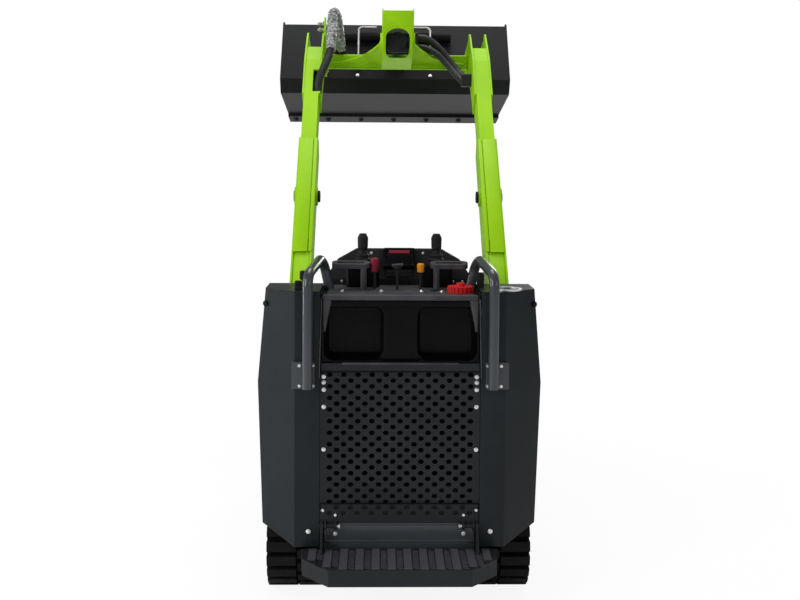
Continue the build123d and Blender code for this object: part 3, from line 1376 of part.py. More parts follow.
# Console: a moulded housing with the operator's thigh recess, and the deck on top
HOUSING_HALF = 291.0
HOUSING_WALL = 6.0
POCKET_DEPTH = 84.0
POCKET_LOW = HOUSING_LOW + 16
POCKET_TOP = DECK_HEIGHT - 36
POCKET_CORNER = 38.0
POCKET_DRAFT = 12.0
RIB_HALF = 56.0
RIB_BACK = 30.0
STICK_X = 145.0
STICK_FORWARD = 292.0
POD_HEIGHT = 84.0
POD_WIDTH = 130.0
POD_LENGTH = 82.0
POD_CORNER = 16.0
with BuildPart() as console_housing:
    with BuildSketch(Plane.XY.offset(HOUSING_LOW)):
        with Locations((0, at(HOUSING_FRONT / 2 + 4))):
            Rectangle(2 * HOUSING_HALF, HOUSING_FRONT - 8)
    extrude(amount=DECK_HEIGHT - HOUSING_LOW)
    fillet(console_housing.edges().filter_by(Axis.X).sort_by(Axis.Z)[-2:].sort_by(Axis.Y)[0], 22)
    with BuildSketch(Plane.XY.offset(HOUSING_LOW - 1)):
        with Locations((0, at((HOUSING_FRONT + POCKET_DEPTH) / 2 + 5))):
            Rectangle(2 * (HOUSING_HALF - HOUSING_WALL), HOUSING_FRONT - POCKET_DEPTH - 3 * HOUSING_WALL)
    extrude(amount=DECK_HEIGHT - HOUSING_LOW - HOUSING_WALL + 1, mode=Mode.SUBTRACT)
    for pocket_side in (-1, 1):
        pocket_inner = RIB_HALF
        pocket_outer = HOUSING_HALF - HOUSING_WALL
        with BuildSketch(Plane.XZ.offset(-at(0))):
            with Locations((pocket_side * (pocket_inner + pocket_outer) / 2, (POCKET_LOW + POCKET_TOP) / 2)):
                RectangleRounded(pocket_outer - pocket_inner, POCKET_TOP - POCKET_LOW, POCKET_CORNER)
        extrude(amount=-POCKET_DEPTH, taper=POCKET_DRAFT, mode=Mode.SUBTRACT)
    # The rib between the pockets stands a little back from the rim
    with BuildSketch(Plane.XZ.offset(-at(0))):
        with Locations((0, (POCKET_LOW + POCKET_TOP) / 2)):
            RectangleRounded(2 * RIB_HALF + 2 * POCKET_CORNER, POCKET_TOP - POCKET_LOW, POCKET_CORNER - 4)
    extrude(amount=-RIB_BACK, mode=Mode.SUBTRACT)
    # Pods that carry the joysticks
    with BuildSketch(Plane.XY.offset(DECK_HEIGHT - 1)):
        for pod_x in (-STICK_X, STICK_X):
            with Locations((pod_x, at(STICK_FORWARD))):
                RectangleRounded(POD_WIDTH, POD_LENGTH, POD_CORNER)
    extrude(amount=POD_HEIGHT + 1)
console_housing.part.label = "console_housing"
export_step(console_housing.part, "parts/console_housing.step")

# Dash: a hump across the deck with a sloping rear face
DASH_TOP = DECK_HEIGHT + 139
DASH_SHOULDER = DECK_HEIGHT + 96
DASH_SIDE = DECK_HEIGHT + 34
DASH_FLAT_HALF = 172.0
DASH_SHOULDER_HALF = 248.0
DASH_HALF = 288.0
DASH_START = 336.0
DASH_CREST = 396.0
DASH_END = 440.0


def dash_block(inset):
    """The dash's outer block, or its inner space when inset by the wall."""
    with BuildPart() as block:
        with BuildSketch(Plane.XZ.offset(-at(DASH_END) + inset)):
            with BuildLine():
                Polyline(
                    (-DASH_HALF + inset, DECK_HEIGHT + SEAT - inset),
                    (-DASH_HALF + inset, DASH_SIDE),
                    (-DASH_SHOULDER_HALF + inset, DASH_SHOULDER - inset),
                    (-DASH_FLAT_HALF, DASH_TOP - inset),
                    (DASH_FLAT_HALF, DASH_TOP - inset),
                    (DASH_SHOULDER_HALF - inset, DASH_SHOULDER - inset),
                    (DASH_HALF - inset, DASH_SIDE),
                    (DASH_HALF - inset, DECK_HEIGHT + SEAT - inset),
                    close=True,
                )
            make_face()
        extrude(amount=DASH_END - DASH_START - inset)
        with BuildSketch(Plane.YZ.offset(-DASH_HALF - 1)):
            with BuildLine():
                Polyline(
                    (at(DASH_START) + inset, DECK_HEIGHT - 10),
                    (at(DASH_START) + inset, DECK_HEIGHT + 24),
                    (at(DASH_CREST) + inset * 0.5, DASH_TOP - inset),
                    (at(DASH_END), DASH_TOP - inset),
                    (at(DASH_END), DECK_HEIGHT - 10),
                    close=True,
                )
            make_face()
        extrude(amount=2 * DASH_HALF + 2, mode=Mode.INTERSECT)
    return block.part


with BuildPart() as dash_panel:
    add(dash_block(0))
    add(dash_block(HOUSING_WALL), mode=Mode.SUBTRACT)
dash_panel.part.label = "dash_panel"
export_step(dash_panel.part, "parts/dash_panel.step")

dash_rise = math.atan2(DASH_TOP - DECK_HEIGHT - 24, DASH_CREST - DASH_START)
dash_plane = Plane(
    origin=(0, at(DASH_START), DECK_HEIGHT + 24),
    x_dir=(1, 0, 0),
    z_dir=(0, -math.sin(dash_rise), math.cos(dash_rise)),
)
with BuildPart() as display_unit:
    with BuildSketch(dash_plane.offset(SEAT)):
        with Locations((0, 84)):
            RectangleRounded(126, 84, 8)
    extrude(amount=24)
    with BuildSketch(dash_plane.offset(24)):
        with Locations((0, 88)):
            RectangleRounded(104, 56, 4)
    extrude(amount=3, mode=Mode.SUBTRACT)
display_unit.part.label = "display_unit"
export_step(display_unit.part, "parts/display_unit.step")

# Joysticks: bellows boot, stalk and grip
POD_TOP = DECK_HEIGHT + POD_HEIGHT
STICK_TOP = DECK_HEIGHT + 210
GRIP_HEIGHT = 66.0
with BuildPart() as joysticks:
    for stick_x in (-STICK_X, STICK_X):
        with BuildSketch(Plane.XZ.offset(-at(STICK_FORWARD))):
            with BuildLine():
                Polyline(
                    (stick_x, POD_TOP + SEAT),
                    (stick_x + 36, POD_TOP + SEAT),
                    (stick_x + 36, POD_TOP + 8),
                    (stick_x + 29, POD_TOP + 15),
                    (stick_x + 32, POD_TOP + 24),
                    (stick_x + 24, POD_TOP + 32),
                    (stick_x + 26, POD_TOP + 41),
                    (stick_x + 17, POD_TOP + 50),
                    (stick_x + 15, STICK_TOP - GRIP_HEIGHT),
                    (stick_x + 20, STICK_TOP - GRIP_HEIGHT + 12),
                    (stick_x + 21, STICK_TOP - 16),
                    (stick_x + 13, STICK_TOP),
                    (stick_x, STICK_TOP),
                    close=True,
                )
            make_face()
        revolve(axis=Axis((stick_x, at(STICK_FORWARD), 0), (0, 0, 1)))
joysticks.part.label = "joysticks"
export_step(joysticks.part, "parts/joysticks.step")

# Palm bars: a level hoop beside each joystick, on a post
HOOP_RADIUS = 9.0
HOOP_INNER = 117.0
HOOP_OUTER = 262.0
HOOP_NEAR = 176.0
POST_X = 140.0
HOOP_HEIGHT = DECK_HEIGHT + 91
HOOP_TILT = math.radians(8.7)
hoop_plane = Plane(
    origin=(0, at(HOOP_NEAR), HOOP_HEIGHT),
    x_dir=(1, 0, 0),
    z_dir=(0, -math.sin(HOOP_TILT), math.cos(HOOP_TILT)),
)
with BuildPart() as palm_bars:
    with BuildSketch(hoop_plane.offset(-HOOP_RADIUS)):
        with Locations(((HOOP_INNER + HOOP_OUTER) / 2, 31)):
            RectangleRounded(HOOP_OUTER - HOOP_INNER, 62, 24)
            RectangleRounded(HOOP_OUTER - HOOP_INNER - 4 * HOOP_RADIUS, 62 - 4 * HOOP_RADIUS, 10,
                             mode=Mode.SUBTRACT)
    extrude(amount=2 * HOOP_RADIUS)
    with BuildSketch(Plane.XY.offset(DECK_HEIGHT + SEAT)):
        with Locations((POST_X, at(HOOP_NEAR) + HOOP_RADIUS)):
            Circle(12)
    extrude(amount=HOOP_HEIGHT - DECK_HEIGHT - 3)
    mirror(about=Plane.YZ)
palm_bars.part.label = "palm_bars"
export_step(palm_bars.part, "parts/palm_bars.step")

# Control levers between the joysticks
# Columns: across, forward, top above the deck, stalk radius, knob radius, knob height
LEVERS = (
    (-10.0, 200.0, 96.0, 5.0, 16.0, 14.0),
    (-98.0, 210.0, 120.0, 6.0, 14.0, 46.0),
    (80.0, 205.0, 98.0, 5.0, 11.0, 22.0),
)
with BuildPart() as control_levers:
    for lever_x, lever_forward, lever_top, stalk, knob, knob_height in LEVERS:
        with BuildSketch(Plane.XY.offset(DECK_HEIGHT + SEAT)):
            with Locations((lever_x, at(lever_forward))):
                Circle(stalk)
        extrude(amount=lever_top - SEAT)
        with BuildSketch(Plane.XY.offset(DECK_HEIGHT + lever_top - knob_height)):
            with Locations((lever_x, at(lever_forward))):
                Circle(knob)
        extrude(amount=knob_height)
control_levers.part.label = "control_levers"
export_step(control_levers.part, "parts/control_levers.step")

CAP_RADIUS = 50.0
CAP_RIBS = 20
with BuildPart() as fuel_cap:
    with BuildSketch(Plane.XY.offset(DECK_HEIGHT + SEAT)):
        with Locations((228, at(112))):
            Circle(CAP_RADIUS - 3)
            with PolarLocations(CAP_RADIUS - 3, CAP_RIBS):
                Circle(3)
    extrude(amount=26)
    with BuildSketch(Plane.XY.offset(DECK_HEIGHT + SEAT + 26)):
        with Locations((228, at(112))):
            Circle(17)
    extrude(amount=12)
fuel_cap.part.label = "fuel_cap"
export_step(fuel_cap.part, "parts/fuel_cap.step")

RING_RADIUS = 52.0
with BuildPart() as filler_ring:
    with BuildSketch(Plane.XY.offset(COVER_TOP + SEAT)):
        with Locations((401, at(62))):
            Circle(RING_RADIUS)
            Circle(RING_RADIUS - 9, mode=Mode.SUBTRACT)
    extrude(amount=6)
filler_ring.part.label = "filler_ring"
export_step(filler_ring.part, "parts/filler_ring.step")

# Grab handles: a bent tube on a base plate
HANDLE_RADIUS = 19.0
HANDLE_X = 340.0
HANDLE_TOP = DECK_HEIGHT + 126
HANDLE_INNER = 297.0
HANDLE_BACK = -30.0
HANDLE_FORWARD = 214.0
HANDLE_FOOT = HOUSING_LOW - 80
HANDLE_PLATE = 10.0
with BuildPart() as grab_handle_right:
    with BuildLine() as handle_path:
        FilletPolyline(
            (HANDLE_X, at(HANDLE_BACK), HANDLE_FOOT),
            (HANDLE_X, at(HANDLE_BACK), HANDLE_TOP - 45),
            (HANDLE_INNER + 3, at(HANDLE_FORWARD), HANDLE_TOP),
            (HANDLE_INNER - 29, at(HANDLE_FORWARD + 10), DECK_HEIGHT - HANDLE_RADIUS),
            radius=55,
        )
    with BuildSketch(Plane(origin=(HANDLE_X, at(HANDLE_BACK), HANDLE_FOOT), z_dir=(0, 0, 1))):
        Circle(HANDLE_RADIUS)
    sweep()
    with BuildSketch(Plane.XZ.offset(-REAR_Y + SEAT)):
        with Locations((HANDLE_X + 18, HANDLE_FOOT + 45)):
            RectangleRounded(84, 100, 6)
    extrude(amount=HANDLE_PLATE)
    with BuildSketch(Plane.XZ.offset(-REAR_Y + SEAT + HANDLE_PLATE)):
        with Locations((HANDLE_X, HANDLE_FOOT + 40)):
            Rectangle(16, 70)
    extrude(amount=-HANDLE_BACK - HANDLE_PLATE)
    # The front foot is cut level on the deck
    with BuildSketch(Plane.XY.offset(DECK_HEIGHT + SEAT)):
        with Locations((HANDLE_INNER - 29, at(HANDLE_FORWARD + 10))):
            Rectangle(120, 120)
    extrude(amount=-60, mode=Mode.SUBTRACT)
grab_handle_right.part.label = "grab_handle_right"
export_step(grab_handle_right.part, "parts/grab_handle_right.step")

with BuildPart() as grab_handle_left:
    mirror(grab_handle_right.part, about=Plane.YZ)
grab_handle_left.part.label = "grab_handle_left"
export_step(grab_handle_left.part, "parts/grab_handle_left.step")

# Platform: a tray with a turned-down lip and tread strips, hung on two hinge ears
STEP_PLATE = 6.0
TREAD_PITCH = 58.0
TREAD_WIDTH = 34.0
TREAD_HEIGHT = 3.0
STEP_EAR_X = 283.0
STEP_EAR = 8.0
HINGE = (at(-STEP_HINGE_BACK), STEP_HINGE_HEIGHT)


def step_outline(inset):
    """Plan of the platform, inset from its lip."""
    with BuildSketch(Plane.XY) as outline:
        with BuildLine():
            Polyline(
                (-STEP_HALF + inset, at(-STEP_START) - inset),
                (-STEP_WAIST_HALF + inset, at(-STEP_WAIST)),
                (-STEP_REAR_HALF + inset * 0.4, at(-STEP_REACH) + inset),
                (STEP_REAR_HALF - inset * 0.4, at(-STEP_REACH) + inset),
                (STEP_WAIST_HALF - inset, at(-STEP_WAIST)),
                (STEP_HALF - inset, at(-STEP_START) - inset),
                close=True,
            )
        make_face()
    return outline.sketch


with BuildPart() as step_platform:
    with BuildSketch(Plane.XY.offset(STEP_TOP - STEP_LIP)):
        add(step_outline(0))
    extrude(amount=STEP_LIP)
    with BuildSketch(Plane.XY.offset(STEP_TOP - STEP_LIP)):
        add(step_outline(STEP_PLATE))
    extrude(amount=STEP_LIP - STEP_PLATE - TREAD_HEIGHT, mode=Mode.SUBTRACT)
    # Grooves between the tread strips
    with BuildSketch(Plane.XY.offset(STEP_TOP - TREAD_HEIGHT)):
        with GridLocations(TREAD_PITCH, 1, 11, 1):
            with Locations((0, at(-STEP_REACH / 2))):
                Rectangle(TREAD_PITCH - TREAD_WIDTH, STEP_REACH - 34)
    extrude(amount=TREAD_HEIGHT, mode=Mode.SUBTRACT)
    for ear_start in (-STEP_EAR_X - STEP_EAR, STEP_EAR_X):
        with BuildSketch(Plane.YZ.offset(ear_start)):
            with Locations(HINGE):
                Circle(15)
            with BuildLine():
                Polyline(
                    (HINGE[0] + 15, HINGE[1]),
                    (HINGE[0] - 15, HINGE[1]),
                    (HINGE[0] - 60, STEP_TOP - STEP_PLATE),
                    (at(-STEP_START), STEP_TOP - STEP_PLATE),
                    (at(-STEP_START), STEP_TOP + 20),
                    close=True,
                )
            make_face()
            with Locations(HINGE):
                Circle(8 + PIN_FIT, mode=Mode.SUBTRACT)
        extrude(amount=STEP_EAR)
step_platform.part.label = "step_platform"
export_step(step_platform.part, "parts/step_platform.step")

# Hinge brackets of the platform on the centre plate, each with its pin
with BuildPart() as platform_brackets:
    for bracket_start in (STEP_EAR_X - 50, STEP_EAR_X - 12):
        with BuildSketch(Plane.YZ.offset(bracket_start)):
            with Locations(HINGE):
                Circle(14)
            with BuildLine():
                Polyline(
                    (HINGE[0], HINGE[1] + 14),
                    (at(0) - SEAT, HINGE[1] + 26),
                    (at(0) - SEAT, HINGE[1] - 18),
                    (HINGE[0], HINGE[1] - 14),
                    close=True,
                )
            make_face()
        extrude(amount=8)
    with BuildSketch(Plane.YZ.offset(STEP_EAR_X - 52)):
        with Locations(HINGE):
            Circle(8)
    extrude(amount=52 + STEP_EAR + 6)
    mirror(about=Plane.YZ)
platform_brackets.part.label = "platform_brackets"
export_step(platform_brackets.part, "parts/platform_brackets.step")

# Work lamps on the hood's nose
LAMP_RADIUS = 34.0
LAMP_DEPTH = 46.0
LAMP_X = 276.0
LAMP_HEIGHT = 730.0
with BuildPart() as work_lamps:
    for lamp_x in (-LAMP_X, LAMP_X):
        with BuildSketch(Plane.XZ.offset(-at(HOOD_END) - SEAT)):
            with Locations((lamp_x, LAMP_HEIGHT)):
                Circle(LAMP_RADIUS - 12)
        extrude(amount=-14)
        with BuildSketch(Plane.XZ.offset(-at(HOOD_END) - SEAT - 14)):
            with Locations((lamp_x, LAMP_HEIGHT)):
                Circle(LAMP_RADIUS)
        extrude(amount=-LAMP_DEPTH + 14)
work_lamps.part.label = "work_lamps"
export_step(work_lamps.part, "parts/work_lamps.step")

# Tie-down eyes on the front of the tub
EYE_BORE = 16.0
EYE_PLATE = 16.0
with BuildPart() as tie_down_eyes:
    for eye_x in (-190 - EYE_PLATE / 2, 190 - EYE_PLATE / 2):
        with BuildSketch(Plane.YZ.offset(eye_x)):
            with Locations((at(TUB_END + 40), 260)):
                Circle(34)
            with BuildLine():
                Polyline(
                    (at(TUB_END) + SEAT, 310), (at(TUB_END + 40), 294), (at(TUB_END + 40), 226),
                    (at(TUB_END) + SEAT, 210), close=True)
            make_face()
            with Locations((at(TUB_END + 40), 260)):
                Circle(EYE_BORE, mode=Mode.SUBTRACT)
        extrude(amount=EYE_PLATE)
tie_down_eyes.part.label = "tie_down_eyes"
export_step(tie_down_eyes.part, "parts/tie_down_eyes.step")
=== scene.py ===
import json
import math

import bpy
from mathutils import Euler, Matrix, Vector


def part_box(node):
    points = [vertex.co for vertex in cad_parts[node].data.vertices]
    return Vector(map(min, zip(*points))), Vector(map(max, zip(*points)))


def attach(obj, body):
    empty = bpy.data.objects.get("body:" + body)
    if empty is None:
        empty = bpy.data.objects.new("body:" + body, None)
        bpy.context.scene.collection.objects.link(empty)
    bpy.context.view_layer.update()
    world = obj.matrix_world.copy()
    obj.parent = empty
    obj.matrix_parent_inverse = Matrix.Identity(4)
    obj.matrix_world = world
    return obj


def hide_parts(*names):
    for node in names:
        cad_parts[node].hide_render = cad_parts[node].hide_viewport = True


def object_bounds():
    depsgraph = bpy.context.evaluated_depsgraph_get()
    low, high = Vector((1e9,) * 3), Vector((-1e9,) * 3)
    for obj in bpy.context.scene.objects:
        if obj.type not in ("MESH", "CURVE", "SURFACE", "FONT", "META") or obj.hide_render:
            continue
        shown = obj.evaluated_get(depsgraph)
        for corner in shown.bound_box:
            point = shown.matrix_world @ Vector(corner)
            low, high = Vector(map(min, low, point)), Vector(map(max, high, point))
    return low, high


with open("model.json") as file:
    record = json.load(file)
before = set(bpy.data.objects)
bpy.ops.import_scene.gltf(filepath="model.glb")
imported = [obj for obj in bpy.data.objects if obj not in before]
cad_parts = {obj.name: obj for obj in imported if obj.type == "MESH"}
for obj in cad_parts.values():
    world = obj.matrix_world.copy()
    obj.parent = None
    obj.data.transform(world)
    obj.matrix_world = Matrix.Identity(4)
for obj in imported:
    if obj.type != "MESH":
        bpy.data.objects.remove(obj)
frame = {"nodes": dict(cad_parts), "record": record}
cad_low, cad_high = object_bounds()
nodes = frame["nodes"]


# Places are given in millimetres: across to the right, ahead of the covers' rear face, and height
MM = 0.001
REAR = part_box("side_cover_left")[0].y
SIDES = (-1, 1)
DECK = 1186.0

# Bucket: its floor's slope, the heel at the floor's rear end, the bend at the foot of its back, the
# way the back rises, the floor's length, and the thickness of the cutting edge and the hitch plate
FLOOR_SLOPE = math.radians(-10.9)
HEEL = (1664.85, 2027.4)
BEND = (-52.0, 65.0)
BACK_RISE = (0.34266, 0.93946)
FLOOR_LENGTH = 493.0
EDGE_THICKNESS = 16.0
HITCH_PLATE = 12.3

# Arms: how steeply their main beams rise, and the place that lengths along them start from
BEAM_RISE = math.radians(50.3)
BEAM_START = (200.0, 980.0)

# Dash: the foot of its sloping face, and how steeply the face rises
DASH_FOOT = (336.0, 1210.0)
DASH_RISE = math.radians(62.4)


def spot(across, forward, height):
    """A place on the machine, in metres."""
    return Vector((across * MM, REAR + forward * MM, height * MM))


def on_bucket(across, forward, above):
    """A place on the bucket, measured from the heel of its floor with the floor level."""
    return spot(
        across,
        HEEL[0] + forward * math.cos(FLOOR_SLOPE) - above * math.sin(FLOOR_SLOPE),
        HEEL[1] + forward * math.sin(FLOOR_SLOPE) + above * math.cos(FLOOR_SLOPE))


def on_back(across, up, out):
    """A place up the outside of the bucket's back, and out behind it."""
    return on_bucket(
        across,
        BEND[0] + up * BACK_RISE[0] - out * BACK_RISE[1],
        BEND[1] + up * BACK_RISE[1] + out * BACK_RISE[0])


def up_slope(across, foot, rise, along, out):
    """A place up a slope that starts at its foot, and out from it to the rear."""
    return spot(
        across,
        foot[0] + along * math.cos(rise) - out * math.sin(rise),
        foot[1] + along * math.sin(rise) + out * math.cos(rise))


def on_beam(across, along, out):
    """A place along an arm's main beam, and out behind its middle line."""
    return up_slope(across, BEAM_START, BEAM_RISE, along, out)


def on_dash(across, along, out):
    """A place up the dash's sloping face, and out from it."""
    return up_slope(across, DASH_FOOT, DASH_RISE, along, out)


REARWARD = Vector((0, -1, 0))
FORWARD = Vector((0, 1, 0))
UPWARD = Vector((0, 0, 1))
RIGHTWARD = Vector((1, 0, 0))
LEFTWARD = Vector((-1, 0, 0))
BEHIND_BACK = (on_back(0, 0, 1) - on_back(0, 0, 0)).normalized()
UNDER_FLOOR = (on_bucket(0, 0, -1) - on_bucket(0, 0, 0)).normalized()
OFF_DASH = (on_dash(0, 0, 1) - on_dash(0, 0, 0)).normalized()


# Finishes

def srgb(code):
    """The linear colour of a six-figure sRGB hex value."""
    channels = [int(code[place:place + 2], 16) / 255 for place in (0, 2, 4)]
    return tuple(c / 12.92 if c < 0.04045 else ((c + 0.055) / 1.055) ** 2.4 for c in channels) + (1.0,)


def add_node(tree, kind, inputs=None, links=None, **settings):
    """Adds a node to a material, with its settings, its input values and its links."""
    made = tree.nodes.new(kind)
    for name, value in settings.items():
        setattr(made, name, value)
    for name, value in (inputs or {}).items():
        made.inputs[name].default_value = value
    for name, output in (links or {}).items():
        tree.links.new(output, made.inputs[name])
    return made


def new_finish(name, values):
    """A new material with its shader's own values, and the place on the machine that patterns read."""
    material = bpy.data.materials.new(name)
    material.use_nodes = True
    tree = material.node_tree
    shader = tree.nodes["Principled BSDF"]
    for socket, value in values.items():
        shader.inputs[socket].default_value = value
    place = add_node(tree, "ShaderNodeTexCoord").outputs["Object"]
    return material, tree, shader, place


def noise(tree, place, scale, detail, distortion=0.0):
    """A cloudy pattern with so many blotches a metre, and finer ones in it by its detail."""
    clouds = add_node(
        tree, "ShaderNodeTexNoise", {"Scale": scale, "Detail": detail, "Distortion": distortion},
        {"Vector": place})
    return clouds.outputs["Fac"]


def grain(tree, place, size, detail):
    """A noise whose grains are a size in millimetres."""
    return noise(tree, place, 1 / (size * MM), detail)


def soften_edges(tree, shader, radius, height, depth, strength):
    """Rounds the look of sharp edges by a radius in millimetres, under a bump from a height."""
    edges = add_node(tree, "ShaderNodeBevel", {"Radius": radius * MM}, samples=4)
    bump = add_node(
        tree, "ShaderNodeBump", {"Strength": strength, "Distance": depth * MM},
        {"Height": height, "Normal": edges.outputs["Normal"]})
    tree.links.new(bump.outputs["Normal"], shader.inputs["Normal"])
    return edges


def two_tone(tree, factor, dark, light, low=0.35, high=0.65):
    """A colour between two hex values, by a factor between low and high."""
    ramp = add_node(tree, "ShaderNodeValToRGB", links={"Fac": factor})
    for stop, position, code in zip(ramp.color_ramp.elements, (low, high), (dark, light)):
        stop.position = position
        stop.color = srgb(code)
    return ramp.outputs["Color"]


def powder_coat(name, dark, light, roughness, coat, peel_size, edge_highlight):
    """Powder-coated steel: a cloudy colour, a fine orange peel, a soft gloss and a painted highlight on
    its edges.
    """
    material, tree, shader, place = new_finish(name, {
        "Roughness": roughness, "Specular IOR Level": 0.12, "Coat Weight": coat, "Coat Roughness": 0.2})
    edges = soften_edges(tree, shader, 2.0, grain(tree, place, peel_size, 2.0), 0.15, 0.25)
    # Where the softened normal leaves the flat one there is an edge, painted paler as a painted highlight
    flat = add_node(tree, "ShaderNodeNewGeometry")
    bend = add_node(
        tree, "ShaderNodeVectorMath", None, {0: edges.outputs["Normal"], 1: flat.outputs["Normal"]},
        operation="DOT_PRODUCT")
    edge_highlight_share = add_node(
        tree, "ShaderNodeMapRange", {"From Min": 0.99, "From Max": 0.8, "To Min": 0.0, "To Max": 0.5},
        {"Value": bend.outputs["Value"]})
    cloudy = two_tone(tree, noise(tree, place, 3.0, 3.0), dark, light)
    paint = add_node(
        # The paler edge colour mixed in here is a painted highlight
        tree, "ShaderNodeMix", {7: srgb(edge_highlight)}, {0: edge_highlight_share.outputs["Result"], 6: cloudy}, data_type="RGBA")
    tree.links.new(paint.outputs[2], shader.inputs["Base Color"])
    return material


def moulded_plastic(name, dark, light, roughness, grain_size, depth):
    """Moulded plastic: an even colour over the tool's spark-eroded or polished grain."""
    material, tree, shader, place = new_finish(name, {"Roughness": roughness, "Specular IOR Level": 0.12})
    cloudy = two_tone(tree, noise(tree, place, 12.0, 2.0), dark, light)
    tree.links.new(cloudy, shader.inputs["Base Color"])
    soften_edges(tree, shader, 3.0, grain(tree, place, grain_size, 3.0), depth, 0.3)
    return material


def bare_metal(name, dark, light, roughness, grain_size):
    """Bare or plated metal: a broken sheen whose roughness drifts over the surface."""
    material, tree, shader, place = new_finish(name, {"Metallic": 1.0})
    clouds = noise(tree, place, 30.0, 4.0)
    tree.links.new(two_tone(tree, clouds, dark, light), shader.inputs["Base Color"])
    sheen = add_node(
        tree, "ShaderNodeMapRange", {"To Min": roughness - 0.07, "To Max": roughness + 0.08},
        {"Value": clouds})
    tree.links.new(sheen.outputs["Result"], shader.inputs["Roughness"])
    soften_edges(tree, shader, 1.0, grain(tree, place, grain_size, 2.0), 0.05, 0.2)
    return material


def track_rubber():
    """Carbon-black rubber: nearly black, matt, with a little pale dust that breaks its colour."""
    material, tree, shader, place = new_finish(
        "carbon_black_track_rubber", {"Roughness": 0.65, "Specular IOR Level": 0.15})
    dusty = two_tone(tree, noise(tree, place, 18.0, 6.0), "0a090a", "131112", 0.4, 0.75)
    tree.links.new(dusty, shader.inputs["Base Color"])
    soften_edges(tree, shader, 3.0, grain(tree, place, 2.5, 3.0), 0.4, 0.4)
    return material


YARN_PITCH = 6.0


def woven_sleeve():
    """Woven nylon hose sleeve: black yarns that cross each other and break the highlight, under painted
    sheen and shade.
    """
    material, tree, shader, place = new_finish("woven_nylon_hose_sleeve", {"Roughness": 0.6})
    yarns = []
    for lean in ((1, 1, 1), (1, 1, -1)):
        turned = add_node(tree, "ShaderNodeMapping", {"Rotation": Euler(lean)}, {"Vector": place})
        yarn = add_node(
            tree, "ShaderNodeTexWave",
            {"Scale": 1 / (YARN_PITCH * MM) / math.pi, "Distortion": 1.0, "Detail": 1.0},
            {"Vector": turned.outputs["Vector"]})
        yarns.append(yarn.outputs["Fac"])
    weave_and_painted_light = add_node(
        tree, "ShaderNodeMath", None, dict(enumerate(yarns)), operation="MULTIPLY").outputs["Value"]
    # The colour follows the weave's height: painted sheen on the crossings, painted shade between the
    # yarns
    tree.links.new(two_tone(tree, weave_and_painted_light, "060607", "1d1e21", 0.1, 0.7), shader.inputs["Base Color"])
    soften_edges(tree, shader, 1.0, weave_and_painted_light, 0.8, 0.6)
    return material


def stretch_film():
    """Crumpled stretch film: pale and glossy, with painted highlights on its creases and painted shade in
    its hollows.
    """
    material, tree, shader, place = new_finish(
        "crumpled_stretch_film", {"Roughness": 0.22, "Metallic": 0.25})
    folds = noise(tree, place, 22.0, 3.0, 2.0)
    creases = add_node(
        tree, "ShaderNodeTexVoronoi", {"Scale": 60.0}, {"Vector": place}, feature="DISTANCE_TO_EDGE")
    # The colour follows the folds' height: painted highlight on the creases, painted shade in the hollows
    tree.links.new(two_tone(tree, folds, "58585b", "a8a9ac", 0.36, 0.70), shader.inputs["Base Color"])
    height = add_node(
        tree, "ShaderNodeMath", None, {0: folds, 1: creases.outputs["Distance"]}, operation="ADD")
    soften_edges(tree, shader, 1.0, height.outputs["Value"], 8.0, 0.9)
    return material


def lamp_lens():
    """Clear polycarbonate lens over a bright reflector: pale cells under a hard gloss."""
    material, tree, shader, place = new_finish(
        "polycarbonate_lamp_lens", {"Roughness": 0.08, "Metallic": 0.3, "Coat Weight": 1.0})
    cells = add_node(
        tree, "ShaderNodeTexVoronoi", {"Scale": 1 / (14 * MM)}, {"Vector": place}).outputs["Distance"]
    tree.links.new(two_tone(tree, cells, "8d949a", "e3e7ea", 0.1, 0.7), shader.inputs["Base Color"])
    soften_edges(tree, shader, 1.0, cells, 1.5, 0.4)
    return material
